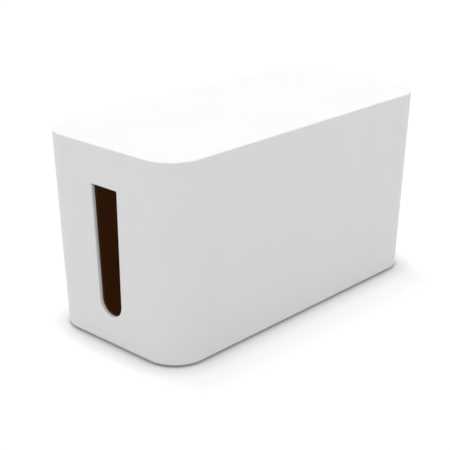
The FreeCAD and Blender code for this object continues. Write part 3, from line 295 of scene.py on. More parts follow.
def drum(radius: float, foot: Vector, height: float, axis: Axis = Axis.Z, sides: int = ROUND_SIDES) -> Object:
    """A cylinder that starts at a point.

    Args:
        radius: Its radius.
        foot: The middle of its starting face.
        height: How far it runs along its axis.
        axis: Its axis.
        sides: How many sides it has.

    Returns:
        The new piece.
    """
    way = Vector([axis is each for each in Axis])
    rotation = {Axis.X: (0, math.pi / 2, 0), Axis.Y: (-math.pi / 2, 0, 0), Axis.Z: (0, 0, 0)}[axis]
    bpy.ops.mesh.primitive_cylinder_add(vertices=sides, radius=radius, depth=height,
                                        location=foot + way * height / 2, rotation=rotation)
    return settle(bpy.context.object)


def round_off(piece: Object, test: Test, radius: float, steps: int) -> Object:
    """Rounds some edges of a piece.

    Args:
        piece: The piece.
        test: A test for the edges.
        radius: The round's radius on a square edge.
        steps: How many flats make the round.

    Returns:
        The same piece.
    """
    with editing(piece):
        pick(Part.EDGES, test)
        bpy.ops.mesh.bevel(offset=radius, offset_type="OFFSET", segments=steps, profile=0.5, affect="EDGES")
    return piece


def rounded_brick(low: Vector, high: Vector, corner: float, steps: int = 12, axis: Axis = Axis.Z) -> Object:
    """A box whose edges along one axis are round.

    Args:
        low: Its lowest corner.
        high: Its highest corner.
        corner: The radius of the four edges.
        steps: How many flats make each round.
        axis: The axis of the round edges.

    Returns:
        The new piece.
    """
    return round_off(brick(low, high), along(axis), corner, steps)


def combine(piece: Object, others: tuple[Object, ...], join: Join) -> Object:
    """Cuts, welds or meets a piece with others, which are used up.

    Args:
        piece: The piece that stays.
        others: The cutters, or the shapes to join.
        join: What is done.

    Returns:
        The piece that stays.
    """
    for other in others:
        modify(piece, "BOOLEAN", operation=join.value, solver="EXACT", object=other)
        bpy.data.objects.remove(other)
    return piece


def cut(piece: Object, *others: Object) -> Object:
    """The piece without the others."""
    return combine(piece, others, Join.CUT)


def weld(piece: Object, *others: Object) -> Object:
    """The piece and the others as one."""
    return combine(piece, others, Join.WELD)


def meet(piece: Object, *others: Object) -> Object:
    """What the piece shares with the others."""
    return combine(piece, others, Join.MEET)


def soften(piece: Object, width: float, steps: int = 3, angle_deg: float = SOFT_DEG) -> Object:
    """Rounds every edge of a piece that is sharper than an angle, as a mould or a tool leaves it.

    Args:
        piece: The piece to work on.
        width: The round's width.
        steps: How many flats make the round.
        angle_deg: The least angle that counts as an edge.

    Returns:
        The same piece.
    """
    with editing(piece):
        merge()
    return modify(piece, "BEVEL", width=width, segments=steps, limit_method="ANGLE",
                  angle_limit=math.radians(angle_deg), miter_outer="MITER_ARC")


def shade(piece: Object, crease_deg: float) -> None:
    """Smooth shading that leaves flats flat.

    Args:
        piece: The piece to shade.
        crease_deg: The least angle that stays a crease.
    """
    with editing(piece):
        bpy.ops.mesh.select_all(action="SELECT")
        bpy.ops.mesh.dissolve_degenerate(threshold=FLAT / 10)
    only(piece)
    bpy.ops.object.shade_smooth_by_angle(angle=math.radians(crease_deg))
    modify(piece, "WEIGHTED_NORMAL", keep_sharp=True)


class Box(NamedTuple):
    """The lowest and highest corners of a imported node, in millimetres."""

    low: Vector
    high: Vector

    def over(self, z: float) -> Vector:
        """The middle of its outline, seen from above, at a height."""
        return Vector(((self.low.x + self.high.x) / 2, (self.low.y + self.high.y) / 2, z))

    def foot(self) -> Vector:
        """The middle of its underside."""
        return self.over(self.low.z)

    def height(self) -> float:
        """How high it is."""
        return self.high.z - self.low.z


def reach(node: str) -> Box:
    """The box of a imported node."""
    low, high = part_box(node)
    return Box(low / MM, high / MM)


# Finishes


def linear(code: str) -> tuple[float, float, float, float]:
    """The linear colour of an sRGB hex code.

    Args:
        code: Six hex digits.

    Returns:
        Red, green, blue and alpha.
    """
    shares = [int(code[i:i + 2], 16) / 255 for i in (0, 2, 4)]
    red, green, blue = [s / 12.92 if s <= 0.04045 else ((s + 0.055) / 1.055) ** 2.4 for s in shares]
    return red, green, blue, 1.0


def fit(tree: Tree, node: Node, settings: Settings, links: Links) -> Node:
    """Gives a node its settings and links.

    Args:
        tree: The node tree.
        node: The node.
        settings: Values by attribute, or else by socket. A ramp's stops are pairs of a place and a colour.
        links: The sockets that feed its inputs.

    Returns:
        The same node.
    """
    for name, value in settings.items():
        if name == "stops":
            stops = node.color_ramp.elements
            for place, _ in value[1:-1]:
                stops.new(place)
            for stop, (place, colour) in zip(stops, value):
                stop.position, stop.color = place, colour
        elif isinstance(name, str) and hasattr(node, name):
            setattr(node, name, value)
        else:
            node.inputs[name].default_value = value
    for name, socket in links.items():
        tree.links.new(socket, node.inputs[name])
    return node


def add(tree: Tree, kind: str, settings: Settings | None = None, links: Links | None = None) -> Node:
    """Adds a node with its settings and links, which read as in fit."""
    return fit(tree, tree.nodes.new(kind), settings or {}, links or {})


def blank(name: str) -> tuple[Material, Tree, Node]:
    """A new material with only its shader and output.

    Args:
        name: The material's name.

    Returns:
        The material, its node tree and its shader.
    """
    material = bpy.data.materials.new(name)
    material.use_nodes = True
    tree = material.node_tree
    return material, tree, tree.nodes["Principled BSDF"]


NOISE_SPREAD: Settings = {"From Min": 0.3, "From Max": 0.7}  # where nearly all of a noise's values lie


@dataclass(frozen=True)
class Moulded:
    """A moulded plastic or rubber, whose grain comes from its mould.

    The mould's grain is a fine bump, and drift is the slow change of tone and gloss over a moulding.
    An emission colour is painted light: it keeps a dark moulding lit evenly in the shade inside the box, standing in
    for light that comes through the thin white walls round it.
    """

    name: str
    colour: str
    shade: str
    roughness: float
    grain_mm: float
    grain_depth_mm: float
    drift_mm: float = 45.0
    drift_gloss: float = 0.05
    ior: float = 1.5
    coat: float = 0.0
    sheen: float = 0.0
    # An emission colour other than black is painted light: the moulding shines by itself, though it is no lamp.
    painted_glow: str = "000000"

    def material(self) -> Material:
        """Builds the material.

        Returns:
            The material.
        """
        material, tree, shader = blank(self.name)
        where = add(tree, "ShaderNodeTexCoord").outputs["Object"]
        drift = add(tree, "ShaderNodeTexNoise", {"Scale": 1 / (self.drift_mm * MM), "Detail": 3.0, "Roughness": 0.55},
                    {"Vector": where}).outputs["Fac"]
        colour = add(tree, "ShaderNodeValToRGB",
                     {"stops": ((0.3, linear(self.shade)), (0.62, linear(self.colour)))}, {"Fac": drift})
        gloss = add(tree, "ShaderNodeMapRange",
                    {**NOISE_SPREAD, "To Min": self.roughness - self.drift_gloss,
                     "To Max": self.roughness + self.drift_gloss}, {"Value": drift})
        grain = add(tree, "ShaderNodeTexNoise", {"Scale": 1 / (self.grain_mm * MM), "Detail": 2.0, "Roughness": 0.6},
                    {"Vector": where}).outputs["Fac"]
        bump = add(tree, "ShaderNodeBump", {"Strength": 1.0, "Distance": self.grain_depth_mm * MM}, {"Height": grain})
        # Emission paints light onto the moulding wherever its emission colour is not black.
        fit(tree, shader, {"IOR": self.ior, "Coat Weight": self.coat, "Sheen Weight": self.sheen,
                           "Emission Color": linear(self.painted_glow), "Emission Strength": 1.0},
            {"Base Color": colour.outputs["Color"], "Roughness": gloss.outputs["Result"],
             "Normal": bump.outputs["Normal"]})
        return material


@dataclass(frozen=True)
class Metal:
    """A plated, drawn or stamped metal, with its tool's fine lines along one axis and patches of tarnish."""

    name: str
    colour: str
    tarnish: str
    roughness: float
    line_mm: float
    line_depth_mm: float
    stretch: tuple[float, float, float] = (1.0, 1.0, 12.0)
    patch_mm: float = 6.0

    def material(self) -> Material:
        """Builds the material.

        Returns:
            The material.
        """
        material, tree, shader = blank(self.name)
        where = add(tree, "ShaderNodeTexCoord").outputs["Object"]
        run = add(tree, "ShaderNodeMapping", {"Scale": self.stretch}, {"Vector": where}).outputs["Vector"]
        lines = add(tree, "ShaderNodeTexNoise", {"Scale": 1 / (self.line_mm * MM), "Detail": 4.0, "Roughness": 0.6},
                    {"Vector": run}).outputs["Fac"]
        patches = add(tree, "ShaderNodeTexNoise", {"Scale": 1 / (self.patch_mm * MM), "Detail": 4.0},
                      {"Vector": where})
        colour = add(tree, "ShaderNodeValToRGB",
                     {"stops": ((0.35, linear(self.tarnish)), (0.6, linear(self.colour)))},
                     {"Fac": patches.outputs["Fac"]})
        gloss = add(tree, "ShaderNodeMapRange",
                    {**NOISE_SPREAD, "To Min": self.roughness * 0.75, "To Max": self.roughness * 1.35},
                    {"Value": lines})
        bump = add(tree, "ShaderNodeBump", {"Strength": 1.0, "Distance": self.line_depth_mm * MM}, {"Height": lines})
        fit(tree, shader, {"Metallic": 1.0},
            {"Base Color": colour.outputs["Color"], "Roughness": gloss.outputs["Result"],
             "Normal": bump.outputs["Normal"]})
        return material


@dataclass(frozen=True)
class ClearPlastic:
    """A clear moulded plastic, tinted through, with small facets, that shows what is behind it."""

    name: str
    colour: str
    roughness: float
    transmission: float
    ridge_mm: float
    ior: float = 1.49

    def material(self) -> Material:
        """Builds the material.

        Returns:
            The material.
        """
        material, tree, shader = blank(self.name)
        where = add(tree, "ShaderNodeTexCoord").outputs["Object"]
        ridges = add(tree, "ShaderNodeTexVoronoi", {"Scale": 1 / (self.ridge_mm * MM)}, {"Vector": where})
        bump = add(tree, "ShaderNodeBump", {"Strength": 0.5, "Distance": 0.05 * MM},
                   {"Height": ridges.outputs["Distance"]})
        fit(tree, shader, {"Base Color": linear(self.colour), "Roughness": self.roughness,
                           "Transmission Weight": self.transmission, "IOR": self.ior},
            {"Normal": bump.outputs["Normal"]})
        return material


@dataclass(frozen=True)
class Laminate:
    """A glass-cloth circuit board under a solder mask, with copper runs that show through."""

    name: str
    mask: str
    copper: str
    run_mm: float = 5.0
    weave_mm: float = 0.5

    def material(self) -> Material:
        """Builds the material.

        Returns:
            The material.
        """
        material, tree, shader = blank(self.name)
        where = add(tree, "ShaderNodeTexCoord").outputs["Object"]
        weave = add(tree, "ShaderNodeTexChecker", {"Scale": 1 / (self.weave_mm * MM)}, {"Vector": where})
        runs = add(tree, "ShaderNodeTexBrick",
                   {"Scale": 1 / (self.run_mm * MM), "Color1": linear(self.mask), "Color2": linear(self.copper),
                    "Mortar": linear(self.mask), "Mortar Size": 0.06}, {"Vector": where})
        bump = add(tree, "ShaderNodeBump", {"Strength": 0.4, "Distance": 0.02 * MM}, {"Height": weave.outputs["Fac"]})
        fit(tree, shader, {"Roughness": 0.35},
            {"Base Color": runs.outputs["Color"], "Normal": bump.outputs["Normal"]})
        return material


@dataclass(frozen=True)
class Striped:
    """A soft wire insulation in one colour with a stripe of another wound round it."""

    name: str
    colour: str
    stripe: str
    pitch_mm: float

    def material(self) -> Material:
        """Builds the material.

        Returns:
            The material.
        """
        material, tree, shader = blank(self.name)
        where = add(tree, "ShaderNodeTexCoord").outputs["Object"]
        wave = add(tree, "ShaderNodeTexWave",
                   {"bands_direction": "DIAGONAL", "Scale": 1 / (self.pitch_mm * MM * 6), "Distortion": 0.0},
                   {"Vector": where})
        colour = add(tree, "ShaderNodeValToRGB", {"stops": ((0.0, linear(self.colour)), (0.6, linear(self.stripe)))},
                     {"Fac": wave.outputs["Fac"]})
        colour.color_ramp.interpolation = "CONSTANT"
        fit(tree, shader, {"Roughness": 0.5}, {"Base Color": colour.outputs["Color"]})
        return material


Finish = Moulded | Metal | ClearPlastic | Laminate | Striped

# ABS from a finely spark-eroded mould: a clean white with a soft, even sheen and hardly any grain.
# The real grain is about 0.1 mm; it is drawn at 0.45 mm so that it shows close up.
WHITE_ABS = Moulded("white_satin_abs", "F4F4F4", "F2F2F2", 0.46, 0.45, 0.012, ior=1.53)
# Flame-retardant plastic, moulded matt: an even, very dark chocolate brown; a painted emission keeps it brown deep
# inside, where the box's shade falls.
DARK_LINER = Moulded("dark_brown_matt_plastic", "33210F", "2B1B0C", 0.62, 0.6, 0.02, drift_gloss=0.06, ior=1.52,
                     painted_glow="261205")
# Natural rubber, moulded: soft black that hardly shines.
FOOT_RUBBER = Moulded("black_moulded_rubber", "262625", "1E1E1D", 0.78, 0.5, 0.02, ior=1.52, sheen=0.15)
# Textured ABS of the strip's housing: a shade warmer and duller than the box.
STRIP_ABS = Moulded("white_textured_abs", "E9E8E3", "E4E3DD", 0.5, 0.55, 0.03, ior=1.53)
# Polished polycarbonate of the outlets' faces: glossy off-white.
OUTLET_PC = Moulded("offwhite_polished_polycarbonate", "DEDCD3", "D9D7CD", 0.2, 2.5, 0.006, drift_gloss=0.03,
                    ior=1.58)
# Glass-filled nylon: satin black with a dry look.
SWITCH_NYLON = Moulded("black_glass_filled_nylon", "1B1B1C", "161617", 0.48, 0.4, 0.012, ior=1.53)
# Polished red polycarbonate: deep red with a clear gloss over it.
ROCKER_PC = Moulded("red_polished_polycarbonate", "B3191A", "A51415", 0.22, 2.0, 0.005, drift_gloss=0.03, ior=1.58,
                    coat=0.4)
# Thermoset of the breaker: a hard matt black.
BREAKER_THERMOSET = Moulded("black_thermoset", "202020", "191919", 0.55, 0.5, 0.01, ior=1.6)
# Acetal button: smooth, slightly waxy black.
BUTTON_ACETAL = Moulded("black_acetal", "171718", "121213", 0.3, 1.2, 0.004, ior=1.48)
# Epoxy-dipped disc of the surge absorber: shiny blue with soft dips.
VARISTOR_EPOXY = Moulded("blue_dipped_epoxy", "1F4F9E", "1A438A", 0.25, 1.5, 0.03, ior=1.55, coat=0.5)
# Ceramic body of the thermal fuse: dull white.
FUSE_CERAMIC = Moulded("white_unglazed_ceramic", "DAD8D0", "CFCDC4", 0.7, 0.3, 0.01, ior=1.6)
# Boxed film capacitor: yellow flame-retardant shell with a soft gloss.
CAPACITOR_SHELL = Moulded("yellow_capacitor_shell", "DDB22E", "D2A626", 0.35, 0.5, 0.01, ior=1.55)
# Pad-printed ink on the rocker: flat white.
MARK_INK = Moulded("white_pad_print_ink", "F0EFEA", "ECEBE5", 0.55, 0.3, 0.003)
# Vinyl insulation of the inner wires: soft satin brown, blue, and green with yellow.
LIVE_VINYL = Moulded("brown_vinyl", "5C3420", "52301D", 0.48, 0.6, 0.006, ior=1.53)
NEUTRAL_VINYL = Moulded("blue_vinyl", "2A4FA8", "25479B", 0.48, 0.6, 0.006, ior=1.53)
EARTH_VINYL = Striped("green_yellow_vinyl", "2E8B3A", "E3C322", 3.0)
# Zinc-plated steel screws: bright grey with a trace of yellow and fine turning marks.
ZINC_STEEL = Metal("zinc_plated_steel", "C4C2BB", "A9A69C", 0.32, 0.3, 0.004)
# Stamped brass contacts: pale gold with rolled lines along the strip.
CONTACT_BRASS = Metal("stamped_brass", "D9B363", "C09A4C", 0.3, 0.25, 0.003, stretch=(0.1, 1.0, 1.0))
# Hot-tinned brass tabs and prongs: dull silver, a little uneven.
TINNED_BRASS = Metal("tinned_brass", "CFCEC9", "B9B8B2", 0.34, 0.4, 0.004, stretch=(0.2, 1.0, 1.0))
# Nickel-plated nut: bright with a warm tone.
NICKEL_PLATE = Metal("nickel_plate", "BDB8AE", "A8A297", 0.2, 0.3, 0.002)
# Drawn spring wire: grey, with lines along the draw.
SPRING_WIRE = Metal("drawn_spring_steel", "B5B4B0", "9D9C97", 0.28, 0.2, 0.002)
# Green acrylic of the indicator: clear and saturated, with small facets moulded inside.
LENS_ACRYLIC = ClearPlastic("green_acrylic", "1FA84B", 0.08, 0.55, 0.7)
# Clear epoxy of the lamp.
LAMP_EPOXY = ClearPlastic("clear_lamp_epoxy", "D6E6D8", 0.06, 0.8, 1.5, ior=1.54)
# Glass-epoxy board: dark green mask over copper runs.
BOARD_LAMINATE = Laminate("green_glass_epoxy", "155C34", "2A7A44")

# What stays as it was packed, by its finish
PACKED: dict[Finish, tuple[str, ...]] = {
    ZINC_STEEL: ("liner_screws", "cover_screws"),
    STRIP_ABS: ("strip_base",),
    CONTACT_BRASS: ("live_bar", "neutral_bar", "earth_bar"),
    TINNED_BRASS: ("switch_tabs", "breaker_tabs", "inlet_prongs", "board_leads"),
    BREAKER_THERMOSET: ("breaker_body",),
    LAMP_EPOXY: ("indicator_lamp",),
    BOARD_LAMINATE: ("surge_board",),
    VARISTOR_EPOXY: ("varistors",),
    FUSE_CERAMIC: ("thermal_fuse",),
    CAPACITOR_SHELL: ("filter_capacitor",),
    LIVE_VINYL: ("live_inlet_wire", "live_switch_wire", "live_bar_wire"),
    NEUTRAL_VINYL: ("neutral_wire",),
    EARTH_VINYL: ("earth_wire",),
}


@cache
def material_of(finish: Finish) -> Material:
    """The material of a finish, built at its first use."""
    return finish.material()


def dress(thing: Object, finish: Finish) -> None:
    """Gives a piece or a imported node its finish."""
    thing.data.materials.clear()
    thing.data.materials.append(material_of(finish))


def hand_over(piece: Object, name: str, body: Body, slot: str, finish: Finish, *nodes: str,
              crease_deg: float = CREASE_DEG) -> None:
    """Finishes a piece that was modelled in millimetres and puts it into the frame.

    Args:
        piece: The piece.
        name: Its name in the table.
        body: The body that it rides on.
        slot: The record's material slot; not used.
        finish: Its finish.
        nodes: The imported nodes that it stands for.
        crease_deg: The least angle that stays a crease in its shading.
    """
    shade(piece, crease_deg)
    piece.name = piece.data.name = name
    piece.scale = (MM, MM, MM)
    settle(piece)
    dress(piece, finish)
    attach(piece, body.value)
    if nodes:
        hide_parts(*nodes)
    LOG.info("%s: %d faces, on %s", name, len(piece.data.polygons), body.value)


# The box


@dataclass(frozen=True)
class EjectorPins:
    """The pins that push a moulding out of its mould and leave round marks, in millimetres."""

    places: tuple[tuple[float, float], ...]
    radius: float = 3.0
    depth: float = 0.2

    def mark(self, piece: Object, z: float, side: int) -> None:
        """Sinks the marks into a level face of a moulding.

        Args:
            piece: The moulding.
            z: The height of the face.
            side: 1 where the marks go up into it, -1 where they go down.
        """
        start = -PAST if side > 0 else -self.depth
        for x, y in self.places:
            foot = Vector((x, y, z)) + up(start)
            cut(piece, drum(self.radius, foot, PAST + self.depth, sides=PIN_SIDES))


@dataclass(frozen=True)
class CaseForm:
    """The drafted outline that the case, the lid and the liner share, in millimetres."""

    length: float = 240.0
    width: float = 116.0
    bottom: float = 1.5
    rim: float = 122.0
    top: float = 127.5
    corner: float = 21.5
    corner_steps: int = 24
    draft: float = 3.3
    wall: float = 2.4
    slot_radius: float = 9.3
    slot_middle: float = 29.1
    slot_lean_deg: float = 1.16
    slot_top: float = 102.8

    def inset(self, z: float) -> float:
        """How far the outer wall stands inside the lid's outline at a height."""
        return self.draft * (self.top - z) / (self.top - self.bottom)

    def half(self, z: float, offset: float = 0.0) -> Vector:
        """Half the length and width of the outline at a height, moved inwards by offset."""
        return Vector((self.length / 2 - self.inset(z) - offset, self.width / 2 - self.inset(z) - offset, 0))

    def block(self, offset: float, low: float, high: float) -> Object:
        """The round-cornered, drafted form between two heights.

        Args:
            offset: How far it is moved inwards from the outer wall.
            low: The height of its foot.
            high: The height of its top.

        Returns:
            The new piece.
        """
        top, foot = self.half(high, offset), self.half(low, offset)
        piece = brick(up(low) - top, up(high) + top)
        with editing(piece):
            pick(Part.POINTS, at_height(low))
            stretch((foot.x / top.x, foot.y / top.y, 1), up(low))
        return round_off(piece, along(Axis.Z), self.corner - offset, self.corner_steps)

    def slot(self, widen: float, top: float) -> Object:
        """The two cable slots as one long cutter.

        Args:
            widen: How far each side is moved out.
            top: The height of its flat upper end.

        Returns:
            The new piece.
        """
        reach_x = self.length / 2 + PAST
        radius = self.slot_radius + widen
        piece = drum(radius, Vector((-reach_x, 0, self.slot_middle)), 2 * reach_x, Axis.X)
        half_top = radius + (top - self.slot_middle) * math.tan(math.radians(self.slot_lean_deg))
        side = radius * math.cos(2 * math.pi / ROUND_SIDES)
        with editing(piece):
            pick(Part.POINTS, lambda middle, way: middle.z > self.slot_middle + FLAT)
            stretch((1, half_top / side, 0), up(top))
            merge()
        return piece


@dataclass(frozen=True)
class Case:
    """The white tub, its rubber feet and its dark liner, in millimetres."""

    form: CaseForm
    floor: float = 3.0
    foot_edge: float = 0.6
    slot_edge: float = 1.0
    slot_edge_deg: float = 50.0
    mould_edge: float = 0.12
    label_half: tuple[float, float, float] = (39.0, 20.0, 0.3)
    label_corner: float = 3.0
    gate_radius: float = 4.0
    gate_x: float = -62.0
    foot_radius: float = 7.0
    foot_top: float = 2.7
    foot_bands: tuple[float, float, float] = (1.5, 0.7, 2.6)
    foot_groove: float = 0.45
    foot_dish: float = 0.35
    foot_softness: float = 0.3
    pocket_gap: float = 0.1
    screw_hole: float = 1.7
    liner_offset: float = 2.7
    liner_inside: float = 4.2
    liner_low: float = 4.5
    liner_floor: float = 6.0
    liner_top: float = 114.0
    liner_edge: float = 0.175
    liner_fillet: float = 1.2
    liner_slot_gap: float = 0.3
    liner_pins: EjectorPins = EjectorPins(((-60, -41), (-60, 41), (0, -41), (0, 41), (60, -41), (60, 41), (-92, 0)))
    boss_radius: float = 4.4
    boss_low: float = 5.0
    boss_top: float = 13.0
    boss_hole: float = 1.5
    boss_roof: float = 1.5
    cradle_wall: float = 1.6
    cradle_gap: float = 0.4
    cradle_arm: float = 8.0
    cradle_top: float = 15.0
    feet: tuple[str, ...] = ("foot_front_left", "foot_front_right", "foot_rear_left", "foot_rear_right")

    def foot_places(self) -> list[Vector]:
        """The middle of each foot, at the height of the floor."""
        return [reach(name).over(0) for name in self.feet]

    def tub(self) -> None:
        """Makes the outer case."""
        form = self.form
        piece = round_off(form.block(0, form.bottom, form.rim + PAST), rim_at(form.bottom), self.foot_edge, steps=6)
        soften(cut(piece, form.slot(0, form.slot_top)), self.slot_edge, steps=6, angle_deg=self.slot_edge_deg)
        inside = form.bottom + self.floor
        hollow = form.block(form.wall, inside, form.rim + 2 * PAST)
        round_off(hollow, rim_at(inside), self.foot_edge, steps=4)
        # The mouth is rounded while the slot is closed above; the channel then opens it to the rim, sharp-sided,
        # where the lid's tongue fills it
        channel = form.slot(0, form.rim + 2 * PAST)
        room = Vector((form.length, form.width, 0))
        cut(channel, brick(-room, room + up(form.slot_top - 2 * self.slot_edge)))
        cut(piece, hollow, channel, brick(up(form.rim) - room, room + up(form.top * 2)))
        for place in self.foot_places():
            low = place + up(form.bottom - PAST)
            cut(piece, drum(self.foot_radius + self.pocket_gap, low, PAST + self.foot_top - form.bottom),
                drum(self.screw_hole, low, 3 * PAST, sides=HOLE_SIDES))
        soften(piece, self.mould_edge)
        under, half = up(form.bottom), Vector(self.label_half)
        cut(piece, rounded_brick(under - half, under + half, self.label_corner))
        gate = under + Vector((self.gate_x, 0, -PAST))
        ring = drum(self.gate_radius, gate, PAST + half.z, sides=BORE_SIDES)
        cut(piece, cut(ring, drum(self.gate_radius / 4, gate - up(PAST), 4 * PAST, sides=HOLE_SIDES)))
        hand_over(piece, "case_shell", Body.ROOT, "white_shell", WHITE_ABS, "outer_case")

    def foot(self, name: str, place: Vector) -> None:
        """Makes a rubber foot with a ring groove and a dished middle, where the mould's pin stood.

        Args:
            name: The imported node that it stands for.
            place: Its middle, on the floor.
        """
        piece = drum(self.foot_radius, place, self.foot_top)
        outer = self.foot_radius - self.foot_bands[0]
        inner = outer - self.foot_bands[1]
        with editing(piece):
            pick(Part.FACES, lambda middle, way: way.z < -ALIGNED)
            inset(*self.foot_bands)
            pick(Part.FACES, lambda middle, way: way.z < -ALIGNED and inner < (middle - place).xy.length < outer)
            extrude(self.foot_groove)
            pick(Part.FACES, lambda middle, way: way.z < -ALIGNED and (middle - place).xy.length < FLAT)
            extrude(self.foot_dish)
        soften(piece, self.foot_softness)
        hand_over(piece, "rubber_" + name, Body.ROOT, "foot_rubber", FOOT_RUBBER, name)

    def bracket(self, corner: Vector, side: Vector) -> Object:
        """A cradle bracket of two arms at one corner of the strip.

        Args:
            corner: The strip's corner.
            side: The signs of the corner's place along X and Y, seen from the strip's middle.

        Returns:
            The bracket, still in millimetres.
        """
        inner = corner + side * self.cradle_gap
        outer = inner + side * self.cradle_wall
        back = inner - side * self.cradle_arm
        arms = []
        for x, y in ((back.x, inner.y), (inner.x, back.y)):
            low = Vector((min(x, outer.x), min(y, outer.y), self.liner_floor - self.cradle_gap))
            arms.append(brick(low, Vector((max(x, outer.x), max(y, outer.y), self.cradle_top))))
        return weld(*arms)

    def liner(self) -> None:
        """Makes the dark liner, with its screw bosses and the strip's cradle."""
        form = self.form
        piece = form.block(self.liner_offset, self.liner_low, self.liner_top)
        hollow = form.block(self.liner_inside, self.liner_floor, self.liner_top + PAST)
        round_off(hollow, rim_at(self.liner_floor), self.liner_fillet, steps=5)
        cut(piece, hollow, form.slot(self.liner_slot_gap, self.liner_top + PAST))
        for place in self.foot_places():
            weld(piece, drum(self.boss_radius, place + up(self.boss_low), self.boss_top - self.boss_low))
            cut(piece, drum(self.boss_hole, place, self.boss_top - self.boss_roof, sides=HOLE_SIDES))
        low, high = reach("strip_base")
        for side_x, x in ((-1, low.x), (1, high.x)):
            for side_y, y in ((-1, low.y), (1, high.y)):
                weld(piece, self.bracket(Vector((x, y, 0)), Vector((side_x, side_y, 0))))
        soften(piece, self.liner_edge)
        self.liner_pins.mark(piece, self.liner_floor, -1)
        hand_over(piece, "liner_shell", Body.ROOT, "dark_liner", DARK_LINER, "inner_liner")

    def build(self) -> None:
        """Makes the tub, the liner and the feet."""
        self.tub()
        self.liner()
        for name, place in zip(self.feet, self.foot_places()):
            self.foot(name, place)


@dataclass(frozen=True)
class Lid:
    """The white lid: plate and band, tongues, skirt and ribs in one moulding, in millimetres."""

    form: CaseForm
    plate: float = 2.6
    top_edge: float = 0.8
    mould_edge: float = 0.1
    tongue_gap: float = 0.08
    skirt_gap: float = 0.4
    skirt_wall: float = 1.4
    skirt_foot: float = 116.0
    web_head: float = 3.0
    rib_wall: float = 1.2
    rib_depth: float = 3.0
    long_ribs: int = 2
    cross_ribs: int = 5
    step: float = 0.4
    pins: EjectorPins = EjectorPins(
        ((-60, -37), (-60, 37), (60, -37), (60, 37), (-20, 0), (20, 0), (-100, 0), (100, 0)))

    def ribs(self) -> list[Object]:
        """The ribs under the plate, from skirt to skirt.

        Returns:
            The ribs, still in millimetres.
        """
        form = self.form
        under = form.top - self.plate
        far = form.half(under, form.wall + self.skirt_gap + self.skirt_wall / 2)
        low, high, half = under - self.rib_depth, under + self.plate / 2, self.rib_wall / 2
        ys = [form.width * ((i + 1) / (self.long_ribs + 1) - 1 / 2) for i in range(self.long_ribs)]
        xs = [form.length * ((i + 1) / (self.cross_ribs + 1) - 1 / 2) for i in range(self.cross_ribs)]
        ribs = [brick(Vector((-far.x, y - half, low)), Vector((far.x, y + half, high))) for y in ys]
        # A cross rib's edges step back from a long rib's, so that no two faces lie in one plane
        low, high = low + self.step, high - self.step
        return ribs + [brick(Vector((x - half, -far.y, low)), Vector((x + half, far.y, high))) for x in xs]

    def webs(self) -> list[Object]:
        """The webs that tie each tongue to the skirt.

        Returns:
            The webs, still in millimetres.
        """
        form = self.form
        outer = form.length / 2 - form.inset(self.skirt_foot) - form.wall / 2
        inner = outer - form.wall / 2 - self.skirt_gap - self.skirt_wall / 2
        half = form.slot_radius - self.tongue_gap
        low, high = self.skirt_foot + self.step, form.rim + self.web_head
        ends = ((-outer, -inner), (inner, outer))
        return [brick(Vector((first, -half, low)), Vector((last, half, high))) for first, last in ends]

    def build(self) -> None:
        """Makes the lid."""
        form = self.form
        under = form.top - self.plate
        piece = round_off(form.block(0, form.slot_top, form.top), rim_at(form.top), self.top_edge, steps=6)
        room = Vector((form.length, form.width, 0))
        below = cut(brick(-room, room + up(form.rim)), form.slot(-self.tongue_gap, form.top + PAST))
        cut(piece, below, form.block(form.wall, 0, under))
        offset = form.wall + self.skirt_gap
        skirt = form.block(offset, self.skirt_foot, form.top - self.plate / 2)
        cut(skirt, form.block(offset + self.skirt_wall, self.skirt_foot - PAST, form.top + PAST))
        weld(piece, skirt, *self.webs(), *self.ribs())
        soften(piece, self.mould_edge)
        self.pins.mark(piece, under, 1)
        hand_over(piece, "lid_shell", Body.LID, "white_shell", WHITE_ABS, "lid")


# The power strip


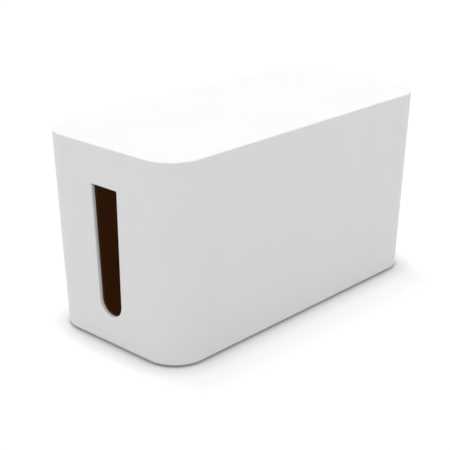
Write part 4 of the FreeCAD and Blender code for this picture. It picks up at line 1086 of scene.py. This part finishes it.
@dataclass(frozen=True)
class Outlets:
    """The strip's cover and the four outlet faces in it, in millimetres."""

    corner: float = 8.0
    top_edge: float = 2.0
    wall: float = 2.2
    fit_gap: float = 0.15
    mould_edge: float = 0.25
    face_depth: float = 5.4
    face_corner: float = 7.5
    face_length: float = 24.0
    face_width: float = 28.0
    face_edge: float = 0.3
    face_softness: float = 0.18
    flange: float = 1.5
    blade_spacing: float = 12.7
    blade_y: float = 7.0
    blade_width: float = 2.2
    blade_corner: float = 0.3
    neutral_length: float = 8.4
    live_length: float = 7.0
    earth_drop: float = 11.9
    earth_radius: float = 2.6
    rim: float = 1.3
    dish: float = 0.35
    count: int = 4
    screw_head: float = 2.7
    boss_radius: float = 3.0
    hole_radius: float = 1.45
    hole_depth: float = 8.8
    groove_inset: float = 3.2
    groove_width: float = 0.6
    groove_depth: float = 0.35

    def middle(self, i: int) -> Vector:
        """The middle of an outlet's top."""
        box = reach(f"outlet_face_{i + 1}")
        return box.over(box.high.z)

    def face(self, i: int) -> None:
        """Makes one outlet's face: a rim round a slightly sunk field with the three openings.

        Args:
            i: The outlet's place along the strip, from 0.
        """
        top = self.middle(i)
        half = Vector((self.face_length / 2, self.face_width / 2, 0))
        low = top - half - up(self.face_depth)
        piece = rounded_brick(low, top + half, self.face_corner)
        with editing(piece):
            pick(Part.FACES, top_at(top.z))
            inset(self.rim)
            extrude(-self.dish)
        round_off(piece, rim_at(top.z), self.face_edge, steps=3)
        under = reach("strip_cover").high.z - self.wall
        more = Vector((self.flange, self.flange, 0))
        plate_low = Vector((low.x, low.y, under - self.flange)) - more
        plate_high = Vector((top.x + half.x, top.y + half.y, under)) + more
        weld(piece, rounded_brick(plate_low, plate_high, self.face_corner + self.flange))
        for side, length in ((-1, self.neutral_length), (1, self.live_length)):
            middle = Vector((top.x + side * self.blade_spacing / 2, self.blade_y, 0))
            size = Vector((self.blade_width / 2, length / 2, 0))
            cut(piece, rounded_brick(middle - size + up(low.z - PAST), middle + size + up(top.z + PAST),
                                     self.blade_corner, steps=3))
        pin = Vector((top.x, self.blade_y - self.earth_drop, low.z - PAST))
        long = self.face_depth + 2 * PAST
        hole = drum(self.earth_radius, pin, long, sides=BORE_SIDES)
        # The hole's flat side is a hair narrower and shorter than the round, so that no faces lie in one plane
        side = self.earth_radius - FLAT
        square = brick(pin - Vector((side, 0, -FLAT)), pin + Vector((side, self.earth_radius, long - FLAT)))
        cut(piece, weld(hole, square))
        soften(piece, self.face_softness)
        name = f"outlet_face_{i + 1}"
        hand_over(piece, "insert_" + name, Body.ROOT, "outlet_insert", OUTLET_PC, name)

    def within(self, low: Vector, high: Vector, inwards: float, steps: int = 12) -> Object:
        """A round-cornered block that stands evenly inside the cover's outline.

        Args:
            low: The outline's lowest corner, at the height of the block's foot.
            high: The outline's highest corner, at the height of the block's top.
            inwards: How far the block stands inside the outline.
            steps: How many flats make each corner.

        Returns:
            The new piece.
        """
        side = Vector((inwards, inwards, 0))
        return rounded_brick(low + side, high - side, self.corner - inwards, steps)

    def cover(self) -> None:
        """Makes the strip's cover, with its openings and a soft moulded edge round each."""
        low, high = reach("strip_cover")
        piece = round_off(self.within(low, high, 0, steps=16), rim_at(high.z), self.top_edge, steps=8)
        cut(piece, self.within(low - up(PAST), high - up(self.wall), self.wall))
        screws_low, screws_high = reach("cover_screws")
        for x in (screws_low.x + self.screw_head, screws_high.x - self.screw_head):
            for y in (screws_low.y + self.screw_head, screws_high.y - self.screw_head):
                foot = Vector((x, y, low.z))
                weld(piece, drum(self.boss_radius, foot, high.z - self.wall / 2 - low.z, sides=PIN_SIDES))
                cut(piece, drum(self.hole_radius, foot - up(PAST), PAST + self.hole_depth, sides=HOLE_SIDES))
        level = Vector((low.x, low.y, high.z))
        groove = self.within(level - up(self.groove_depth), high + up(PAST), self.groove_inset)
        inner = self.within(level - up(PAST), high + up(2 * PAST), self.groove_inset + self.groove_width)
        cut(piece, cut(groove, inner))
        gap = self.fit_gap
        for i in range(self.count):
            top = self.middle(i)
            half = Vector((self.face_length / 2 + gap, self.face_width / 2 + gap, PAST))
            cut(piece, rounded_brick(top - half, top + half, self.face_corner + gap))
        middle = reach("switch_housing").over(high.z)
        half = Vector((Switch.body_length / 2 + gap, Switch.body_width / 2 + gap, PAST))
        cut(piece, brick(middle - half, middle + half))
        for node, radius in (("breaker_nut", Breaker.neck_radius), ("indicator_lens", Breaker.lens_radius)):
            cut(piece, drum(radius + gap, reach(node).over(high.z - PAST), 2 * PAST, sides=BORE_SIDES))
        inlet = reach("inlet_housing")
        middle = Vector((low.x, 0, (inlet.low.z + inlet.high.z) / 2))
        half = Vector((PAST, Inlet.body_width / 2 + gap, Inlet.body_height / 2 + gap))
        cut(piece, brick(middle - half, middle + half))
        soften(piece, self.mould_edge)
        hand_over(piece, "strip_cover_shell", Body.ROOT, "strip_shell", STRIP_ABS, "strip_cover")

    def build(self) -> None:
        """Makes the cover and the outlets."""
        self.cover()
        for i in range(self.count):
            self.face(i)


@dataclass(frozen=True)
class Switch:
    """The rocker switch: its housing, the red rocker and the marks on it, in millimetres."""

    wall: float = 1.0
    body_length: float = 18.8
    body_width: float = 12.8
    body_depth: float = 13.0
    mould_edge: float = 0.15
    flange_height: float = 1.2
    flange_corner: float = 1.5
    flange_edge: float = 0.45
    pivot_drop: float = 2.3
    rocker_gap: float = 0.25
    rocker_length: float = 15.2
    rocker_edge: float = 0.35
    rocker_edge_deg: float = 38.0
    end_rise: float = 3.4
    dip_rise: float = 2.1
    lip: float = 0.4
    keel: float = 5.0
    keel_width: float = 6.0
    stub_radius: float = 1.2
    stub_reach: float = 0.7
    stub_gap: float = 0.06
    tilt_deg: float = 10.0
    steps: int = 16
    mark_height: float = 0.06
    mark_share: float = 0.3
    mark_sink: float = 0.5
    mark_block: float = 2.0
    line_half: tuple[float, float] = (1.5, 0.28)
    line_corner: float = 0.25
    ring_outer: float = 1.55
    ring_inner: float = 1.0

    def pivot(self) -> Vector:
        """The middle of the rocker's axis."""
        box = reach("switch_housing")
        return box.over(box.high.z - self.pivot_drop)

    def housing(self) -> None:
        """Makes the housing with its flange and its well."""
        low, high = reach("switch_housing")
        seat = high.z - self.flange_height
        piece = rounded_brick(Vector((low.x, low.y, seat)), high, self.flange_corner, steps=8)
        round_off(piece, rim_at(high.z), self.flange_edge, steps=4)
        middle = self.pivot()
        half = Vector((self.body_length / 2, self.body_width / 2, 0))
        weld(piece, brick(Vector((middle.x, middle.y, seat - self.body_depth)) - half,
                          Vector((middle.x, middle.y, high.z - self.flange_height / 2)) + half))
        inner = half - Vector((self.wall, self.wall, 0))
        floor = middle.z - self.keel - 3 * self.rocker_gap
        cut(piece, brick(Vector((middle.x, middle.y, floor)) - inner,
                         Vector((middle.x, middle.y, high.z + PAST)) + inner))
        long = Vector((0, inner.y + self.stub_reach + self.stub_gap, 0))
        cut(piece, drum(self.stub_radius + self.stub_gap, middle - long, 2 * long.y, Axis.Y, AXLE_SIDES))
        soften(piece, self.mould_edge)
        hand_over(piece, "switch_shell", Body.ROOT, "switch_black", SWITCH_NYLON, "switch_housing")

    def surface(self, x: float) -> float:
        """The height of the rocker's hollow top above its axis, at a distance along it."""
        return self.dip_rise + (self.end_rise - self.dip_rise) * (2 * x / self.rocker_length) ** 2

    def hollow(self, least: float, more: float) -> None:
        """Bends the level top of the piece in edit mode to the rocker's hollow.

        Args:
            least: The height above the axis from which points follow.
            more: How far they end above the rocker's surface.
        """
        middle = self.pivot()
        pick(Part.EDGES, along(Axis.X))
        bpy.ops.mesh.subdivide(number_cuts=self.steps - 1)
        for i in range(1, self.steps):
            x = self.rocker_length * i / self.steps - self.rocker_length / 2
            pick(Part.POINTS, lambda spot, way: abs(spot.x - middle.x - x) < FLAT and spot.z > middle.z + least)
            lift(self.surface(x) - self.end_rise + more)

    def rocker(self) -> None:
        """Makes the rocker, with a hollow top and a keel."""
        middle = self.pivot()
        half_x = self.rocker_length / 2
        half_y = self.body_width / 2 - self.wall - self.rocker_gap
        piece = brick(middle + Vector((-half_x, -half_y, self.lip)), middle + Vector((half_x, half_y, self.end_rise)))
        with editing(piece):
            self.hollow(self.end_rise - FLAT, 0)
            pick(Part.FACES, lambda spot, way: way.z < -ALIGNED)
            extrude(-self.keel - self.lip)
            stretch((self.keel_width / self.rocker_length, 1, 1), middle)
        long = Vector((0, half_y + self.rocker_gap + self.stub_reach, 0))
        weld(piece, drum(self.stub_radius, middle - long, 2 * long.y, Axis.Y, AXLE_SIDES))
        soften(piece, self.rocker_edge, steps=4, angle_deg=self.rocker_edge_deg)
        turn(piece, middle, -self.tilt_deg, Axis.Y)
        hand_over(piece, "rocker_paddle", Body.ROCKER, "rocker_red", ROCKER_PC, "rocker")

    def marks(self) -> None:
        """Makes the printed line and ring that show the on and off sides."""
        middle = self.pivot()
        far = self.rocker_length * self.mark_share
        on = middle + Vector((far, 0, self.surface(far) - self.mark_sink))
        off = middle + Vector((-far, 0, self.surface(far) - self.mark_sink))
        size = Vector((*self.line_half, 0))
        piece = rounded_brick(on - size, on + size + up(self.mark_block), self.line_corner, steps=4)
        ring = drum(self.ring_outer, off, self.mark_block, sides=BORE_SIDES)
        weld(piece, cut(ring, drum(self.ring_inner, off - up(PAST), 3 * PAST, sides=BORE_SIDES)))
        half = Vector((self.rocker_length / 2, self.body_width / 2, 0))
        skin = brick(middle - half + up(self.end_rise - 1), middle + half + up(self.end_rise))
        with editing(skin):
            self.hollow(0, self.mark_height / 2)
        turn(meet(piece, skin), middle, -self.tilt_deg, Axis.Y)
        hand_over(piece, "rocker_marks", Body.ROCKER, "outlet_insert", MARK_INK)

    def build(self) -> None:
        """Makes the housing, the rocker and its marks."""
        self.housing()
        self.rocker()
        self.marks()


@dataclass(frozen=True)
class Breaker:
    """What shows of the breaker, with the lamp's lens beside it, in millimetres."""

    nut_radius: float = 6.0
    nut_bore: float = 4.65
    nut_turn_deg: float = 30.0
    nut_cone: tuple[float, float] = (6.9, 5.65)
    nut_softness: float = 0.14
    neck_radius: float = 4.6
    button_radius: float = 2.9
    button_flange: float = 1.0
    button_edge: float = 0.55
    button_bands: tuple[float, float] = (0.35, 0.7)
    button_dish: float = 0.22
    button_softness: float = 0.08
    wire_radius: float = 0.25
    wire_sides: int = 12
    coil_radius: float = 2.9
    coil_steps: int = 40
    turns: int = 4
    closed_share: float = 0.56
    lens_radius: float = 2.2
    lens_flange: float = 0.8
    lens_edge: float = 0.85
    lens_band: float = 0.6
    lens_bore: float = 1.6
    lens_bore_depth: float = 4.1
    lens_softness: float = 0.06
    fine_crease_deg: float = 50.0

    def nut(self) -> None:
        """Makes the six-sided nut with its corners turned down."""
        box = reach("breaker_nut")
        foot, height = box.foot(), box.height()
        piece = turn(drum(self.nut_radius, foot, height, sides=6), foot, self.nut_turn_deg, Axis.Z)
        wide, narrow = self.nut_cone
        cone = drum(narrow, foot, height)
        with editing(cone):
            pick(Part.POINTS, at_height(foot.z))
            stretch((wide / narrow, wide / narrow, 1), foot)
        meet(piece, cone)
        cut(piece, drum(self.nut_bore, foot - up(PAST), height + 2 * PAST, sides=BORE_SIDES))
        soften(piece, self.nut_softness)
        hand_over(piece, "nut_ring", Body.ROOT, "nut_chrome", NICKEL_PLATE, "breaker_nut")

    def button(self) -> None:
        """Makes the push button, with a dished top and the flange that keeps it in."""
        low, high = box = reach("reset_button")
        start = self.button_flange / 2
        piece = drum(self.button_radius, box.foot() + up(start), box.height() - start)
        round_off(piece, rim_at(high.z), self.button_edge, steps=5)
        with editing(piece):
            pick(Part.FACES, top_at(high.z))
            inset(*self.button_bands)
            lift(-self.button_dish)
        weld(piece, drum((high.x - low.x) / 2, box.foot(), self.button_flange))
        soften(piece, self.button_softness)
        hand_over(piece, "button_cap", Body.BUTTON, "button_black", BUTTON_ACETAL, "reset_button",
                  crease_deg=self.fine_crease_deg)

    def spring(self) -> None:
        """Makes the coil spring."""
        low, high = box = reach("reset_spring")
        middle = box.over(low.z + self.wire_radius)
        bpy.ops.mesh.primitive_circle_add(vertices=self.wire_sides, radius=self.wire_radius,
                                          rotation=(math.pi / 2, 0, 0), location=(self.coil_radius, 0, 0))
        piece = settle(bpy.context.object)
        modify(piece, "SCREW", angle=2 * math.pi, iterations=self.turns,
               screw_offset=(high.z - low.z - 2 * self.wire_radius) / self.turns,
               steps=self.coil_steps, render_steps=self.coil_steps)
        with editing(piece):
            bpy.ops.mesh.select_all(action="SELECT")
            bpy.ops.mesh.fill_holes(sides=0)
            bpy.ops.mesh.normals_make_consistent(inside=False)
        piece.location = middle
        settle(piece)
        hand_over(piece, "return_spring", Body.ROOT, "spring_steel", SPRING_WIRE, "reset_spring",
                  crease_deg=self.fine_crease_deg)
        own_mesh(piece)

    def lens(self) -> None:
        """Makes the indicator's lens, with a low dome and a hollow barrel."""
        low, high = box = reach("indicator_lens")
        foot = box.foot()
        piece = round_off(drum(self.lens_radius, foot, box.height()), rim_at(high.z), self.lens_edge, steps=7)
        with editing(piece):
            pick(Part.FACES, top_at(high.z))
            inset(self.lens_band)
        seat = box.over(reach("strip_cover").high.z - Outlets.wall - self.lens_flange)
        weld(piece, drum((high.x - low.x) / 2, seat, self.lens_flange))
        cut(piece, drum(self.lens_bore, foot - up(PAST), PAST + self.lens_bore_depth, sides=AXLE_SIDES))
        soften(piece, self.lens_softness)
        hand_over(piece, "lens_dome", Body.ROOT, "lens_green", LENS_ACRYLIC, "indicator_lens",
                  crease_deg=self.fine_crease_deg)

    def build(self) -> None:
        """Makes the nut, the button, the spring and the lens."""
        self.nut()
        self.button()
        self.spring()
        self.lens()


@dataclass(frozen=True)
class Inlet:
    """The mains inlet in the strip's end, in millimetres."""

    bezel: float = 1.8
    bezel_edge: float = 0.5
    mould_edge: float = 0.2
    body_width: float = 26.8
    body_height: float = 19.6
    body_corner: float = 1.5
    corner: float = 3.0
    recess_width: float = 24.0
    recess_height: float = 16.4
    recess_depth: float = 14.8
    recess_bevel: float = 4.4
    prong_spacing: float = 14.0
    prong_half: tuple[float, float] = (1.0, 2.0)
    tab_half: tuple[float, float] = (0.4, 2.4)
    tab_start: float = 0.5
    line_drop: float = 0.6
    earth_rise: float = 3.9

    def build(self) -> None:
        """Makes the inlet's housing, with a soft edge round its recess."""
        low, high = reach("inlet_housing")
        middle = (low + high) / 2
        front = low.x
        face = Vector((front + self.bezel, high.y, high.z))
        piece = rounded_brick(low, face, self.corner, steps=10, axis=Axis.X)
        round_off(piece, lambda spot, way: abs(spot.x - front) < FLAT, self.bezel_edge, steps=4)
        half = Vector((0, self.body_width / 2, self.body_height / 2))
        weld(piece, rounded_brick(Vector((front + self.bezel / 2, middle.y, middle.z)) - half,
                                  Vector((high.x, middle.y, middle.z)) + half, self.body_corner,
                                  steps=6, axis=Axis.X))
        size = Vector((0, self.recess_width / 2, self.recess_height / 2))
        recess = brick(Vector((front - PAST, middle.y, middle.z)) - size,
                       Vector((front + self.recess_depth, middle.y, middle.z)) + size)
        round_off(recess, lambda spot, way: abs(way.x) > ALIGNED and spot.z > middle.z, self.recess_bevel, steps=1)
        cut(piece, recess)
        for y, rise in ((-self.prong_spacing / 2, -self.line_drop), (0, self.earth_rise),
                        (self.prong_spacing / 2, -self.line_drop)):
            spot = Vector((front + self.recess_depth, y, middle.z + rise))
            blade, tab = Vector((0, *self.prong_half)), Vector((0, *self.tab_half))
            cut(piece, brick(spot - blade - Vector((PAST, 0, 0)),
                             Vector(((spot.x + high.x) / 2, spot.y, spot.z)) + blade))
            cut(piece, brick(spot - tab + Vector((self.tab_start, 0, 0)),
                             Vector((high.x + PAST, spot.y, spot.z)) + tab))
        soften(piece, self.mould_edge)
        hand_over(piece, "inlet_shell", Body.ROOT, "inlet_black", SWITCH_NYLON, "inlet_housing")


# The studio


@dataclass(frozen=True)
class Studio:
    """The pale floor, the soft light and the camera, in metres."""

    eye: tuple[float, float, float] = (-0.50798, -0.45905, 0.30613)
    aim: tuple[float, float, float] = (-0.0166, 0.0, 0.0511)
    lens: float = 87.73
    floor_size: float = 12.0
    floor_colour: str = "959595"
    floor_lift: float = 0.73
    # How far the floor's painted contact shadow reaches and how dark it gets, by ambient occlusion.
    contact_mm: float = 17.0
    contact_shade: tuple[tuple[float, float], ...] = (
        (0.0, 0.12), (0.45, 0.33), (0.62, 0.72), (0.8, 0.86), (1.0, 1.0))
    horizon: float = 1.738
    sky_slope: tuple[float, float, float] = (-0.06, 0.0, -1.498)
    sun: float = 1.09
    sun_softness_deg: float = 11.0
    sun_lean_deg: tuple[float, float] = (3.5, 12.0)

    def seen_rays(self, tree: Tree) -> Socket:
        """A socket that is 1 for what is seen, directly, mirrored or through a clear plastic.

        Args:
            tree: The node tree that it is for.

        Returns:
            The socket.
        """
        path = add(tree, "ShaderNodeLightPath").outputs
        near = add(tree, "ShaderNodeMath", {"operation": "MAXIMUM"},
                   {0: path["Is Camera Ray"], 1: path["Is Glossy Ray"]})
        return add(tree, "ShaderNodeMath", {"operation": "MAXIMUM"},
                   {0: near.outputs["Value"], 1: path["Is Transmission Ray"]}).outputs["Value"]

    def floor(self) -> None:
        """The floor, which shows lighter than it is lit, except close under the object, where an ambient-occlusion
        ramp paints its emission darker: a painted contact shadow over its real shadow.
        """
        bpy.ops.object.select_all(action="DESELECT")
        bpy.ops.mesh.primitive_plane_add(size=self.floor_size)
        floor = bpy.context.object
        floor.name = "studio_floor"
        material, tree, shader = blank("matt_white_floor")
        # Painted shadow: ambient occlusion through a ramp darkens the floor's emission close under and beside the
        # object, on top of the real shadow on its diffuse colour.
        near = add(tree, "ShaderNodeAmbientOcclusion", {"samples": 16, "Distance": self.contact_mm * MM})
        stops = tuple((place, (level, level, level, 1)) for place, level in self.contact_shade)
        ramp = add(tree, "ShaderNodeValToRGB", {"stops": stops}, {"Fac": near.outputs["AO"]})
        painted_glow = add(tree, "ShaderNodeMath", {"operation": "MULTIPLY", 1: self.floor_lift}, {0: self.seen_rays(tree)})
        fit(tree, shader, {"Base Color": linear(self.floor_colour), "Roughness": 1.0, "Specular IOR Level": 0.0},
            {"Emission Color": ramp.outputs["Color"], "Emission Strength": painted_glow.outputs["Value"]})
        floor.data.materials.append(material)

    def world(self) -> None:
        """A pale sky, brighter towards the horizon, and white where it is seen, mirrored or seen through."""
        world = bpy.data.worlds.new("studio_sky")
        bpy.context.scene.world = world
        world.use_nodes = True
        tree = world.node_tree
        tree.nodes.clear()
        slope = add(tree, "ShaderNodeVectorMath", {"operation": "DOT_PRODUCT", 1: self.sky_slope},
                    {0: add(tree, "ShaderNodeTexCoord").outputs["Generated"]})
        level = add(tree, "ShaderNodeMath", {"operation": "ADD", 1: self.horizon}, {0: slope.outputs["Value"]})
        light = add(tree, "ShaderNodeBackground", {"Color": (1, 1, 1, 1)}, {"Strength": level.outputs["Value"]})
        white = add(tree, "ShaderNodeBackground", {"Color": (1, 1, 1, 1), "Strength": 1.0})
        mix = add(tree, "ShaderNodeMixShader", {}, {"Fac": self.seen_rays(tree), 1: light.outputs["Background"],
                                                    2: white.outputs["Background"]})
        add(tree, "ShaderNodeOutputWorld", {}, {"Surface": mix.outputs["Shader"]})

    def lamp(self) -> None:
        """One broad, soft lamp nearly overhead, behind the box."""
        bpy.ops.object.light_add(type="SUN", location=(0, 0, 1))
        lamp = bpy.context.object
        lamp.data.energy = self.sun
        lamp.data.angle = math.radians(self.sun_softness_deg)
        lean_x, lean_y = (math.tan(math.radians(value)) for value in self.sun_lean_deg)
        lamp.rotation_euler = Vector((lean_x, lean_y, 1)).normalized().to_track_quat("Z", "Y").to_euler()

    def camera(self) -> None:
        """The camera at the photograph's viewing angle."""
        data = bpy.data.cameras.new("camera")
        data.lens = self.lens
        camera = bpy.data.objects.new("camera", data)
        bpy.context.scene.collection.objects.link(camera)
        camera.location = self.eye
        camera.rotation_euler = (Vector(self.aim) - Vector(self.eye)).to_track_quat("-Z", "Y").to_euler()
        bpy.context.scene.camera = camera

    def build(self) -> None:
        """Sets up the floor, the light and the camera."""
        self.floor()
        self.world()
        self.lamp()
        self.camera()
        bpy.context.scene.view_settings.view_transform = "Standard"


def main() -> None:
    """Builds the object's pieces round the frame, then the studio."""
    logging.basicConfig(level=logging.INFO, format="%(message)s")
    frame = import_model()
    for finish, names in PACKED.items():
        for name in names:
            dress(frame["nodes"][name], finish)
            LOG.info("%s: packed shape, %s", name, finish.name)
    form = CaseForm()
    for assembly in (Case(form), Lid(form), Outlets(), Switch(), Breaker(), Inlet(), Studio()):
        assembly.build()


if __name__ == "__main__":
    main()
